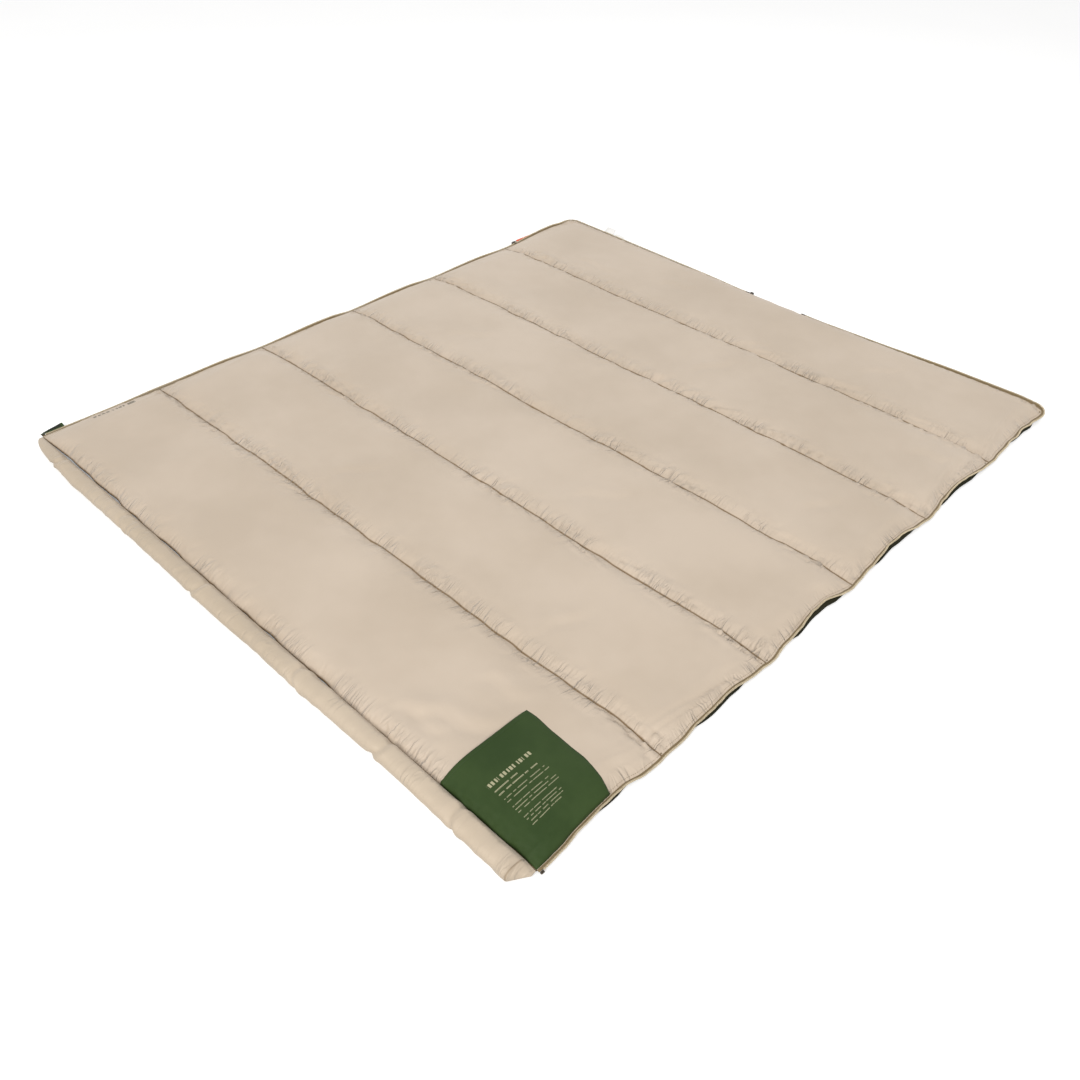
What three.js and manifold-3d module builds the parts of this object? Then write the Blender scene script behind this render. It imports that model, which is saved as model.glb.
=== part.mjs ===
// Camp quilt: a rectangular sleeping bag with its zip undone, opened out flat, lining up.
// Millimetres. +Z is up and the quilt lies on Z = 0. +Y runs from the head end to the foot
// end, and X = 0 is the line that the bag folds along. The left half is at -X.
import * as THREE from 'three';
import { mergeVertices } from 'three/addons/utils/BufferGeometryUtils.js';
import Module from 'manifold-3d';

const wasm = await Module();
wasm.setup();

// Outline of the quilt
const halfWidth = 1025; // fold line to the outer edge of the zip coil
const footEdgeY = 1160; // outer edge of the coil at the foot
const headSeamY = -1130; // seam between the quilt and the padded roll at the head
const zipReach = 15; // how far the zip stands out past the cloth
const clothEdgeX = halfWidth - zipReach;
const clothFootY = footEdgeY - zipReach;
const foldGap = 0.15; // half of the gap between the two halves at the fold line
const gap = 0.3; // clearance between pieces that touch

// Quilting: six channels across the bag, sewn through at five seams
const channelCount = 6;
const channelPitch = (clothFootY - headSeamY) / channelCount;
const loft = 42; // top of a filled channel above the floor
const seamZ = 12; // mid height of the sewn seams and of the zip
const seamOpening = 1.8; // space between the two cloths along a seam
const clothThick = 0.8;
const riseWidth = 130; // distance from a seam over which a channel reaches its full loft
const riseSteps = [0, 10, 45, riseWidth]; // grid lines beside a seam
const edgeSteps = [0, 8, 23, 63, riseWidth]; // grid lines beside the zip
const midX = 450;

// Padded roll along the head edge
const rollWidth = 58;
const rollHeight = 44;
const rollFlat = 1; // how much of the roll's round section is pressed flat on the floor

// Zip
const tapeThick = 1.2;
const tapeInset = 6.5; // width of tape that is sewn between the cloths
const coilWidth = 5.7;
const coilThick = 3;
const zipCornerRadius = 35;
const zipFootEndX = 112; // each half's zip stops this far from the fold line
const zipHeadY = headSeamY + 2;
const pinLength = 18;
const topStopLength = 9;

// Sliders: both stand on the left half, near the foot corner
const sliderX = -(halfWidth + 2);
const sliderHalfWidth = 11;
const sliderLength = 16;
const plateThick = 2;
const plateGap = 4.6; // between the slider's two plates
const sliderPlaces = { a: { y: 829, toward: 1 }, b: { y: 941, toward: -1 } };
const pullerPivotZ = 18.5;
const linkLength = 12;
const gripLength = 42;

// Pocket at the right-hand head corner
const pocketMouthX = 738;
const pocketFarY = headSeamY + channelPitch - riseWidth;
const pocketSlack = 6; // how far the panel stands off the lining
const pocketHem = 40; // distance from a sewn side over which the panel reaches its slack

// Tab that closes over the end of the zip
const tabLength = 72;
const tabReach = 23;
const tabThick = 1.4;

const materials = {
  lining: { color: 0xd6c6b3, roughness: 0.6, metalness: 0 },
  shell: { color: 0x2b3320, roughness: 0.7, metalness: 0 },
  batting: { color: 0xf1efe9, roughness: 0.9, metalness: 0 },
  thread: { color: 0x8d7550, roughness: 0.7, metalness: 0 },
  tape: { color: 0x9b825a, roughness: 0.7, metalness: 0 },
  coil: { color: 0xd9cba6, roughness: 0.4, metalness: 0 },
  zipPlastic: { color: 0x3a2a1d, roughness: 0.45, metalness: 0 },
  zipMetal: { color: 0x4b4338, roughness: 0.35, metalness: 0.9 },
  grip: { color: 0xd6502a, roughness: 0.5, metalness: 0 },
  pocket: { color: 0x3e5030, roughness: 0.6, metalness: 0 },
  hook: { color: 0x262b20, roughness: 0.9, metalness: 0 },
  label: { color: 0xf3f3f0, roughness: 0.4, metalness: 0 },
};

const quilt = new THREE.Group();

function addPiece(name, geometry, material) {
  const piece = new THREE.Mesh(geometry, new THREE.MeshStandardMaterial(materials[material]));
  piece.name = name;
  quilt.add(piece);
  return piece;
}

// A closed sheet or pad between two heights, over a grid of X and Y lines in rising order
function layer(xs, ys, lowZ, highZ) {
  const positions = [];
  const faces = [];
  const rows = ys.length;
  for (const height of [lowZ, highZ]) {
    for (const x of xs) {
      for (const y of ys) {
        positions.push(x, y, height(x, y));
      }
    }
  }
  const low = (i, j) => i * rows + j;
  const high = (i, j) => xs.length * rows + i * rows + j;
  const wall = (a, b, c, d) => faces.push(a, b, c, a, c, d);
  for (let i = 0; i < xs.length - 1; i++) {
    for (let j = 0; j < rows - 1; j++) {
      wall(high(i, j), high(i + 1, j), high(i + 1, j + 1), high(i, j + 1));
      faces.push(low(i, j), low(i + 1, j + 1), low(i + 1, j));
      faces.push(low(i, j), low(i, j + 1), low(i + 1, j + 1));
    }
    wall(low(i, 0), low(i + 1, 0), high(i + 1, 0), high(i, 0));
    wall(low(i + 1, rows - 1), low(i, rows - 1), high(i, rows - 1), high(i + 1, rows - 1));
  }
  for (let j = 0; j < rows - 1; j++) {
    const last = xs.length - 1;
    wall(low(0, j + 1), low(0, j), high(0, j), high(0, j + 1));
    wall(low(last, j), low(last, j + 1), high(last, j + 1), high(last, j));
  }
  const geometry = new THREE.BufferGeometry();
  geometry.setAttribute('position', new THREE.Float32BufferAttribute(positions, 3));
  geometry.setIndex(faces);
  return geometry;
}

function block(sizeX, sizeY, sizeZ, x, y, z) {
  return new THREE.BoxGeometry(sizeX, sizeY, sizeZ).translate(x, y, z);
}

// An outline in X and Y, standing from Z = low to Z = high
function slab(shape, low, high) {
  const options = { depth: high - low, bevelEnabled: false, curveSegments: 6 };
  return new THREE.ExtrudeGeometry(shape, options).translate(0, 0, low);
}

function solidOf(geometry) {
  const bare = geometry.clone();
  bare.deleteAttribute('normal');
  bare.deleteAttribute('uv');
  const merged = mergeVertices(bare, 1e-4);
  const vertProperties = new Float32Array(merged.attributes.position.array);
  const triVerts = new Uint32Array(merged.index.array);
  return new wasm.Manifold(new wasm.Mesh({ numProp: 3, vertProperties, triVerts }));
}

function geometryOf(solid) {
  const mesh = solid.getMesh();
  const geometry = new THREE.BufferGeometry();
  geometry.setAttribute('position', new THREE.BufferAttribute(mesh.vertProperties, 3));
  geometry.setIndex(new THREE.BufferAttribute(mesh.triVerts, 1));
  return geometry;
}

// Shape of the filled quilt: 0 on a seam or at the zip, 1 where a channel is full
function rise(distance) {
  const left = 1 - Math.min(distance, riseWidth) / riseWidth;
  return Math.sqrt(1 - left * left);
}

function fullness(x, y) {
  const along = (y - headSeamY) % channelPitch;
  const toSeam = Math.max(0, Math.min(along, channelPitch - along));
  return rise(toSeam) * rise(clothEdgeX - Math.abs(x));
}

function liningLow(x, y) {
  const seamLevel = seamZ + seamOpening / 2;
  return seamLevel + (loft - clothThick - seamLevel) * fullness(x, y);
}

function shellHigh(x, y) {
  const seamLevel = seamZ - seamOpening / 2;
  return seamLevel - (seamLevel - clothThick) * fullness(x, y);
}

const raised = (height, by) => (x, y) => height(x, y) + by;

// Grid lines of one half, from -X to +X
function halfLines(side, outermost) {
  const distances = [foldGap, midX, pocketMouthX];
  for (const step of [...edgeSteps].reverse()) {
    distances.push(clothEdgeX - step);
  }
  const kept = distances.filter((distance) => distance <= outermost);
  return kept.map((distance) => side * distance).sort((a, b) => a - b);
}

function channelLines(index) {
  const start = headSeamY + index * channelPitch;
  const end = start + channelPitch;
  const fromStart = riseSteps.map((step) => start + step);
  const fromEnd = [...riseSteps].reverse().map((step) => end - step);
  return [...fromStart, ...fromEnd];
}

function addCloths(side, name) {
  const xs = halfLines(side, clothEdgeX);
  const ys = [];
  for (let index = 0; index < channelCount; index++) {
    ys.push(...channelLines(index).slice(index === 0 ? 0 : 1));
  }
  addPiece(`shell_${name}`, layer(xs, ys, raised(shellHigh, -clothThick), shellHigh), 'shell');
  addPiece(`lining_${name}`, layer(xs, ys, liningLow, raised(liningLow, clothThick)), 'lining');
}

function addBatting(side, name) {
  const xs = halfLines(side, clothEdgeX - edgeSteps[1]);
  for (let index = 0; index < channelCount; index++) {
    const ys = channelLines(index).slice(1, -1);
    const pad = layer(xs, ys, raised(shellHigh, gap), raised(liningLow, -gap));
    addPiece(`batting_${name}_${index + 1}`, pad, 'batting');
  }
}

// The thread line that closes each seam, lying on the lining
function addQuiltStitches(side, name) {
  const threadWidth = 1;
  const threadThick = 0.6;
  const lift = 1; // the lining slopes up on both sides of a seam
  const length = clothEdgeX - edgeSteps[1] - foldGap;
  const centreX = side * (foldGap + length / 2);
  const z = seamZ + seamOpening / 2 + clothThick + lift + threadThick / 2;
  for (let index = 1; index < channelCount; index++) {
    const y = headSeamY + index * channelPitch;
    const line = block(length, threadWidth, threadThick, centreX, y, z);
    addPiece(`quilt_stitch_${name}_${index}`, line, 'thread');
  }
}

// Section of the head roll, shrunk by inset and run along X
function rollSolid(inset, fromX, toX) {
  const sides = 16;
  const centreY = headSeamY - gap - rollWidth / 2;
  const centreZ = rollHeight / 2 - rollFlat;
  const section = new THREE.Shape();
  for (let i = 0; i < sides; i++) {
    const angle = ((i + 0.5) / sides) * 2 * Math.PI;
    const y = centreY + (rollWidth / 2 - inset) * Math.cos(angle);
    const z = centreZ + (rollHeight / 2 + rollFlat - inset) * Math.sin(angle);
    const point = [y, Math.max(z, inset)];
    if (i === 0) section.moveTo(...point);
    else section.lineTo(...point);
  }
  section.closePath();
  const low = Math.min(fromX, toX);
  const options = { depth: Math.abs(toX - fromX), bevelEnabled: false };
  const geometry = new THREE.ExtrudeGeometry(section, options);
  const basis = new THREE.Matrix4().makeBasis(
    new THREE.Vector3(0, 1, 0),
    new THREE.Vector3(0, 0, 1),
    new THREE.Vector3(1, 0, 0),
  );
  return geometry.applyMatrix4(basis).translate(low, 0, 0);
}

function addHeadRoll(side, name) {
  const inner = clothThick;
  const outside = solidOf(rollSolid(0, side * foldGap, side * clothEdgeX));
  const hollow = solidOf(rollSolid(inner, side * -1, side * (clothEdgeX - clothThick)));
  addPiece(`head_roll_cover_${name}`, geometryOf(outside.subtract(hollow)), 'lining');
  const fill = rollSolid(inner + gap, side * foldGap, side * (clothEdgeX - clothThick - gap));
  addPiece(`head_roll_fill_${name}`, fill, 'batting');
}

// One zip ribbon: down the side, round the foot corner and along the foot. near and far are
// its distances in from the outer edge of the zip.
function zipRibbon(side, near, far, startY, endX, low, high, squareInside) {
  const shape = new THREE.Shape();
  const cornerX = halfWidth - zipCornerRadius;
  const cornerY = footEdgeY - zipCornerRadius;
  shape.moveTo(halfWidth - near, startY);
  shape.lineTo(halfWidth - near, cornerY);
  shape.absarc(cornerX, cornerY, zipCornerRadius - near, 0, Math.PI / 2, false);
  shape.lineTo(endX, footEdgeY - near);
  shape.lineTo(endX, footEdgeY - far);
  if (squareInside) {
    shape.lineTo(halfWidth - far, footEdgeY - far);
  } else {
    shape.lineTo(cornerX, footEdgeY - far);
    shape.absarc(cornerX, cornerY, zipCornerRadius - far, Math.PI / 2, 0, true);
  }
  shape.lineTo(halfWidth - far, startY);
  const geometry = slab(shape, low, high);
  return side > 0 ? geometry : mirroredInX(geometry);
}

function mirroredInX(geometry) {
  const bare = geometry.clone();
  bare.deleteAttribute('normal');
  bare.deleteAttribute('uv');
  const merged = mergeVertices(bare, 1e-4);
  const points = merged.attributes.position;
  for (let i = 0; i < points.count; i++) {
    points.setX(i, -points.getX(i));
  }
  const index = merged.index;
  for (let i = 0; i < index.count; i += 3) {
    const second = index.getX(i + 1);
    index.setX(i + 1, index.getX(i + 2));
    index.setX(i + 2, second);
  }
  return merged;
}

function addZip(side, name) {
  const tapeNear = coilWidth + gap;
  const coilStartY = zipHeadY + topStopLength + 2 * gap;
  const coilEndX = zipFootEndX + pinLength + gap;
  const halfTape = tapeThick / 2;
  const halfCoil = coilThick / 2;
  const tape = zipRibbon(
    side, tapeNear, zipReach + tapeInset, zipHeadY, zipFootEndX, seamZ - halfTape, seamZ + halfTape, true,
  );
  const coil = zipRibbon(
    side, 0, coilWidth, coilStartY, coilEndX, seamZ - halfCoil, seamZ + halfCoil, false,
  );
  addPiece(`zip_tape_${name}`, tape, 'tape');
  addPiece(`zip_coil_${name}`, coil, 'coil');
  const stopX = side * (halfWidth - coilWidth / 2);
  const stopY = zipHeadY + topStopLength / 2;
  const stop = block(coilWidth, topStopLength, coilThick + 1, stopX, stopY, seamZ);
  addPiece(`zip_top_stop_${name}`, stop, 'zipMetal');
  const pinX = side * (zipFootEndX + pinLength / 2);
  const pinY = footEdgeY - coilWidth / 2;
  const pin = block(pinLength, coilWidth - 2, coilThick, pinX, pinY, seamZ);
  addPiece(side > 0 ? 'zip_insert_pin' : 'zip_fixed_pin', pin, 'zipPlastic');
}

// The box on the left half's zip that takes the right half's pin
function addZipBox() {
  const boxLength = 13;
  const boxWidth = 16;
  const boxHeight = 8;
  const x = -(zipFootEndX - gap - boxLength / 2);
  const body = block(boxLength, boxWidth, boxHeight, x, footEdgeY - boxWidth / 2 + 4, seamZ);
  const slot = block(boxLength + 2, coilWidth, coilThick + 0.6, x + 4, footEdgeY + 0.5, seamZ);
  addPiece('zip_box', geometryOf(solidOf(body).subtract(solidOf(slot))), 'zipPlastic');
}

// Section of a slider: two plates on a middle post, with lips that hold the coil
function sliderSection() {
  const postHalf = 1.2;
  const lipWidth = 2.2;
  const lipGap = 2.2; // opening that the tape runs through
  const inner = plateGap / 2;
  const outer = inner + plateThick;
  const corner = [
    [postHalf, inner],
    [sliderHalfWidth - lipWidth, inner],
    [sliderHalfWidth - lipWidth, lipGap / 2],
    [sliderHalfWidth, lipGap / 2],
    [sliderHalfWidth, outer],
  ];
  const turned = [...corner].reverse();
  const outline = [
    ...corner,
    ...turned.map(([x, z]) => [-x, z]),
    ...corner.map(([x, z]) => [-x, -z]),
    ...turned.map(([x, z]) => [x, -z]),
  ];
  return new THREE.Shape(outline.map(([x, z]) => new THREE.Vector2(x, z)));
}

function addSlider(letter, y, toward) {
  const topZ = seamZ + plateGap / 2 + plateThick;
  const options = { depth: sliderLength, bevelEnabled: false };
  const body = new THREE.ExtrudeGeometry(sliderSection(), options)
    .translate(0, 0, -sliderLength / 2)
    .rotateX(Math.PI / 2);
  addPiece(`slider_${letter}_body`, body, 'zipMetal').position.set(sliderX, y, seamZ);

  const bridgeHalf = 5.7;
  const bridgeThick = 1.4;
  const bridgeTop = 5.2;
  const bridge = new THREE.Shape();
  bridge.moveTo(-bridgeHalf, 0);
  bridge.lineTo(-bridgeHalf + bridgeThick, 0);
  bridge.lineTo(-bridgeHalf + bridgeThick, bridgeTop - bridgeThick);
  bridge.lineTo(bridgeHalf - bridgeThick, bridgeTop - bridgeThick);
  bridge.lineTo(bridgeHalf - bridgeThick, 0);
  bridge.lineTo(bridgeHalf, 0);
  bridge.lineTo(bridgeHalf, bridgeTop);
  bridge.lineTo(-bridgeHalf, bridgeTop);
  const bridgeWidth = 3;
  const arch = new THREE.ExtrudeGeometry(bridge, { depth: bridgeWidth, bevelEnabled: false })
    .translate(0, 0, -bridgeWidth / 2)
    .rotateX(Math.PI / 2)
    .rotateZ(Math.PI / 2);
  addPiece(`slider_${letter}_bridge`, arch, 'zipMetal').position.set(sliderX, y, topZ + gap);
  addPuller(letter, y, toward);
}

// A wire loop through the bridge, and the grip on its far end
function addPuller(letter, y, toward) {
  const loopHalf = 3.9;
  const pinRadius = 1;
  const loopThick = 1.6;
  const loop = new THREE.Shape();
  loop.moveTo(-loopHalf, -pinRadius);
  loop.lineTo(loopHalf, -pinRadius);
  loop.lineTo(loopHalf, linkLength);
  loop.lineTo(-loopHalf, linkLength);
  const window = new THREE.Path();
  window.moveTo(-loopHalf + loopThick, pinRadius);
  window.lineTo(-loopHalf + loopThick, linkLength - 2);
  window.lineTo(loopHalf - loopThick, linkLength - 2);
  window.lineTo(loopHalf - loopThick, pinRadius);
  loop.holes.push(window);
  const turn = toward > 0 ? 0 : Math.PI;
  const link = slab(loop, -loopThick / 2, loopThick / 2).rotateZ(turn);
  addPiece(`puller_${letter}_link`, link, 'zipMetal').position.set(sliderX, y, pullerPivotZ);

  const gripHalf = 4;
  const gripThick = 3;
  const grip = new THREE.Shape();
  grip.moveTo(-gripHalf, 0);
  grip.lineTo(gripHalf, 0);
  grip.lineTo(gripHalf, gripLength - gripHalf);
  grip.absarc(0, gripLength - gripHalf, gripHalf, 0, Math.PI, false);
  const tongue = slab(grip, -gripThick / 2, gripThick / 2).translate(0, linkLength + gap, 0);
  const piece = addPiece(`puller_${letter}_grip`, tongue.rotateZ(turn), 'grip');
  piece.position.set(sliderX, y, pullerPivotZ);
}

// Pocket panel: sewn down along the head seam, the zip and its far side, open towards the fold
function addPocket() {
  const liningHigh = raised(liningLow, clothThick);
  const lowZ = (x, y) => {
    const toSewnSide = Math.min(y - headSeamY, pocketFarY - y, clothEdgeX - x);
    return liningHigh(x, y) + gap + pocketSlack * Math.min(1, toSewnSide / pocketHem);
  };
  const xs = halfLines(1, clothEdgeX).filter((x) => x >= pocketMouthX);
  const ys = channelLines(0).filter((y) => y <= pocketFarY);
  ys.splice(-1, 0, pocketFarY - pocketHem);
  addPiece('pocket_panel', layer(xs, ys, lowZ, raised(lowZ, clothThick)), 'pocket');
}

// Closing tab on the left half, its hook patch, and the loop patch under the right half
function addTab() {
  const lowZ = seamZ - 1;
  const x = -(halfWidth + 2 * gap + tabReach / 2);
  const y = zipHeadY + tabLength / 2;
  addPiece('zip_tab', block(tabReach, tabLength, tabThick, x, y, lowZ + tabThick / 2), 'pocket');
  const hookThick = 1.2;
  const hookZ = lowZ + tabThick + gap + hookThick / 2;
  addPiece('tab_hook_patch', block(15, tabLength - 16, hookThick, x - 2, y, hookZ), 'hook');
  const xs = [clothEdgeX - edgeSteps[2], clothEdgeX - edgeSteps[1]];
  const ys = [headSeamY + riseSteps[1], headSeamY + riseSteps[2]];
  const shellLow = raised(shellHigh, -clothThick - gap);
  addPiece('tab_loop_patch', layer(xs, ys, raised(shellLow, -1), shellLow), 'hook');
}

// Sewn-in labels: thin leaves that lean out and up over the zip at the foot
function addLabels() {
  const lean = THREE.MathUtils.degToRad(30);
  const leafThick = 0.4;
  const leaves = [
    { x: -818, width: 48, length: 44, lift: 0 },
    { x: -815, width: 42, length: 36, lift: 0.9 },
    { x: -762, width: 46, length: 26, lift: 0 },
  ];
  leaves.forEach(({ x, width, length, lift }, index) => {
    const leaf = block(width, length, leafThick, 0, length / 2, leafThick / 2 + lift);
    const piece = addPiece(`care_label_${index + 1}`, leaf, 'label');
    piece.rotation.x = lean;
    piece.position.set(x, clothFootY + 2, seamZ + 1.4);
  });
}

for (const [side, name] of [[-1, 'left'], [1, 'right']]) {
  addCloths(side, name);
  addBatting(side, name);
  addQuiltStitches(side, name);
  addHeadRoll(side, name);
  addZip(side, name);
}
addZipBox();
for (const [letter, place] of Object.entries(sliderPlaces)) {
  addSlider(letter, place.y, place.toward);
}
addPocket();
addTab();
addLabels();

export default quilt;
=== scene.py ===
import math

import bpy
import bmesh
import numpy as np
from mathutils import Matrix, Vector


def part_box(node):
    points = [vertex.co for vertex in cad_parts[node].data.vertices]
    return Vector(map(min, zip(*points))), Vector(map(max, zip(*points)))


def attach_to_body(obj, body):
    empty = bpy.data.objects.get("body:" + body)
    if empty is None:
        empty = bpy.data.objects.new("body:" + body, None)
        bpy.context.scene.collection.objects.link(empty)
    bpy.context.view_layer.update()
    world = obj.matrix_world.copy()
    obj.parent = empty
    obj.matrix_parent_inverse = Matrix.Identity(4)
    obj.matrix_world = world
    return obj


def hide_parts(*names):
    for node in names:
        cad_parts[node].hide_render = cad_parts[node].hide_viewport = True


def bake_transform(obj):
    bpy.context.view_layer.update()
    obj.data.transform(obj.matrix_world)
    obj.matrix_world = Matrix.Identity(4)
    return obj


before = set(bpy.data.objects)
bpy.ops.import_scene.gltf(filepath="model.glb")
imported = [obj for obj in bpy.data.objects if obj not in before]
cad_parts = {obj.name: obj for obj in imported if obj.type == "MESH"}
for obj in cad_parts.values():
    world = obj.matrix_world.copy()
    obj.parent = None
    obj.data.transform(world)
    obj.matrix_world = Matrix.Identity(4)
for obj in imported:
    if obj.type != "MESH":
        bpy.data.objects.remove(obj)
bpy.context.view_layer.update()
print("frame loaded")

# places taken from the frame, in metres
liningLow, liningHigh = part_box("lining_right")
turnedEdge = 0.0025  # the cloth's folded edge lies over the zip tape
clothX = liningHigh.x + turnedEdge
headY = liningLow.y
footY = liningHigh.y + turnedEdge
coilLow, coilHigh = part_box("zip_coil_right")
zipZ = (coilLow.z + coilHigh.z) / 2
seamYs = [headY]
for number in range(1, 6):
    threadLow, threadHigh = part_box(f"quilt_stitch_right_{number}")
    seamYs.append((threadLow.y + threadHigh.y) / 2)
seamYs.append(footY)
pitch = seamYs[1] - seamYs[0]

quilt = {
    "loft": 0.0405,  # top of a filled channel
    "gap": 0.0012,  # half the space between the two cloths where they are sewn
    "underside": 0.0016,  # how high the bottom of a filled channel lies
    "seamHeight": 0.0225,  # how high a stitched seam lies
    "headHeight": 0.0150,  # and the head seam, where the roll is sewn on
    "riseWidth": 0.085,  # from a seam to the full loft
    "edgeRise": {"right": 0.075, "left": 0.105},  # from the zip to the full loft
    # how high the foot edge lies above its zip's own level: place across, height
    "footLift": [(-1.0, 0.014), (-0.8, 0.012), (-0.3, 0.005), (-0.16, 0.0), (0.2, 0.0), (0.4, 0.006),
                 (0.7, 0.013), (0.93, 0.016), (1.0, 0.011)],
    "ripple": 0.0034,  # small waves of the right zip
    # 0.5 is a round flank, 1 a straight one
    "roundness": {"seam": 0.8, "right": 0.62, "left": 1.0, "bottom": 0.5},
    "bottomRise": 0.12,
    "foldWidth": 0.08,  # half of the band that bends when the quilt is folded
    "cornerRadius": 0.036,
    "hem": 0.004,  # flat border beside the zip
    # how far each channel pulls the zip in and lifts it, from the head to the foot
    "pullIn": {"right": [0.008, 0.007, 0.013, 0.011, 0.012, 0.007],
               "left": [0.000, 0.007, 0.009, 0.008, 0.007, 0.000]},
    "lift": {"right": [0.004, 0.006, 0.009, 0.008, 0.009, 0.005],
             "left": [0.000, 0.007, 0.009, 0.008, 0.006, 0.012]},
    "wall": 0.034,  # depth of shell that hangs below a lifted zip
    "wallReach": 0.14,
    "wallBulge": {"right": 0.0115, "left": 0.003},  # less on the left, where the pullers lie
    "leastHang": 0.72,  # how much of that the right side keeps between its lifts
    "curl": 0.95,  # how far the zip turns up where it is lifted, in radians
    "liftPlace": [0.62, 0.58, 0.68, 0.6, 0.55, 0.68],
}


# shapes
def smooth(value, low, high):
    t = np.clip((value - low) / (high - low), 0, 1)
    return t * t * (3 - 2 * t)


def rise(distance, width, flank):
    left = 1 - np.clip(distance, 0, width) / width
    return np.maximum(0, 1 - left ** 2.2) ** flank


def signedPower(value, power):
    return np.sign(value) * np.abs(value) ** power


def softNoise(x, y, cell, seed):
    lattice = np.random.default_rng(seed).uniform(-1, 1, (256, 256))
    a, b = np.broadcast_arrays(np.asarray(x, float) / cell + 97.3, np.asarray(y, float) / cell + 61.7)
    i, j = np.floor(a).astype(int), np.floor(b).astype(int)
    s, t = smooth(a - i, 0, 1), smooth(b - j, 0, 1)
    i, j = i % 255, j % 255
    low = lattice[i, j] * (1 - s) + lattice[i + 1, j] * s
    high = lattice[i, j + 1] * (1 - s) + lattice[i + 1, j + 1] * s
    return low * (1 - t) + high * t


def channelPlace(y):
    index = np.clip(((y - headY) / pitch).astype(int), 0, 5)
    share = (y - headY) / pitch - index
    return index, np.clip(share, 0, 1)


def edgeWave(y, side):
    index, share = channelPlace(np.asarray(y, float))
    peak = np.array(quilt["liftPlace"])[index]
    warped = np.where(share < peak, share / peak * 0.5, 0.5 + (share - peak) / (1 - peak) * 0.5)
    hump = np.sin(np.pi * warped) ** 2
    pull = np.array(quilt["pullIn"][side])[index] * hump
    if side == "right":
        ends = smooth(y - headY, 0.02, 0.12) * smooth(footY - y, 0.04, 0.12)
        waves = 1 + softNoise(y, 0 * y, 0.042, 16) + 0.5 * softNoise(y, 0 * y, 0.019, 17)
        pull = pull + quilt["ripple"] * ends * waves
    return pull, np.array(quilt["lift"][side])[index] * hump


def bySide(x, values):
    return np.where(x > 0, values["right"], values["left"])


def bothEdges(x, y):
    right, left = edgeWave(y, "right"), edgeWave(y, "left")
    return np.where(x > 0, right[0], left[0]), np.where(x > 0, right[1], left[1])


def seamWander(x, y):
    keep = smooth(clothX - np.abs(x), 0, 0.12) * smooth(footY - y, 0, 0.15)
    drift = 0.0045 * softNoise(x, y, 0.32, 11) + 0.0034 * softNoise(x, y, 0.052, 12)
    return drift * keep


def roundedCorner(x, y):
    radius = quilt["cornerRadius"]
    overX = np.abs(x) - (clothX - radius)
    overY = y - (footY - radius)
    inCorner = (overX > 0) & (overY > 0)
    length = np.hypot(overX, overY) + 1e-9
    scale = np.where(inCorner, np.maximum(overX, overY) / length, 1)
    newX = np.where(inCorner, np.sign(x) * (clothX - radius + overX * scale), x)
    return newX, np.where(inCorner, footY - radius + overY * scale, y)


def seamDistance(y):
    share = channelPlace(y)[1]
    return np.minimum(share, 1 - share) * pitch


def pastHem(x, y):
    # distance to the zip seam and to the nearest sewn line, measured from inside the flat hem
    toEdge = clothX - np.abs(x)
    toFoot = np.maximum(footY - quilt["hem"] - y, 0)
    return np.maximum(toEdge - quilt["hem"], 0), np.minimum(seamDistance(y), toFoot)


def clothSurface(x, y, under):
    # places the flat cloth at (x, y) on the lofted quilt; under is the shell, which rests on the floor
    pull, lift = bothEdges(x, y)
    toEdge = clothX - np.abs(x)
    nearEdge = 1 - smooth(toEdge, 0, 0.13)
    seamLevel = quilt["seamHeight"] + 0.0025 * softNoise(x, y, 0.21, 13)
    nearHead = 1 - smooth(y - headY, 0, 0.06)
    seamLevel = seamLevel * (1 - nearHead) + quilt["headHeight"] * nearHead
    nearFoot = 1 - smooth(footY - y, 0, 0.1)
    footPlaces, footHeights = zip(*quilt["footLift"])
    footLevel = zipZ + np.interp(x, footPlaces, footHeights)
    seamLevel = seamLevel * (1 - nearFoot) + footLevel * nearFoot
    edgeLevel = (zipZ + lift) * (1 - nearFoot) + np.maximum(zipZ + lift, footLevel) * nearFoot
    base = seamLevel * (1 - nearEdge) + edgeLevel * nearEdge
    innerEdge, toSeam = pastHem(x, y)
    if under:
        flank = quilt["roundness"]["bottom"]
        full = rise(toSeam, quilt["bottomRise"], flank) * rise(innerEdge, quilt["bottomRise"], flank)
        z = base - quilt["gap"] - (base - quilt["underside"]) * full
        wall, reach = quilt["wall"], quilt["wallReach"]
        least = quilt["leastHang"] * smooth(x, 0, 0.1)
        least = least * smooth(y - headY, 0, 0.05) * smooth(footY - y, 0, 0.12)
        hanging = np.maximum(smooth(lift, 0, 0.005), least)
        bulge = bySide(x, quilt["wallBulge"])
        recess = np.where(toEdge < wall, -bulge * np.sin(np.pi * (toEdge / wall) ** 0.8),
                          (toEdge - wall) * reach / (reach - wall))
        recess = np.where(toEdge < reach, recess * hanging + toEdge * (1 - hanging), toEdge)
        drop = (edgeLevel - quilt["gap"]) * (1 - smooth(toEdge, 0, wall)) + quilt["gap"]
        z = np.where(toEdge < reach, z * (1 - hanging) + drop * hanging, z)
        newX = np.sign(x) * (clothX - recess) - np.sign(x) * pull * nearEdge
    else:
        full = rise(toSeam, quilt["riseWidth"], quilt["roundness"]["seam"])
        full = full * rise(innerEdge, bySide(x, quilt["edgeRise"]), bySide(x, quilt["roundness"]))
        swell = 1 + 0.05 * softNoise(x, y, 0.27, 14) + 0.025 * softNoise(x, y, 0.11, 15)
        z = base + quilt["gap"] + (quilt["loft"] * swell - base) * full
        newX = x - np.sign(x) * pull * nearEdge
    newY = y + seamWander(x, y)
    newX, newY = roundedCorner(newX, newY)
    return np.stack([newX, newY, z], -1)


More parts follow.
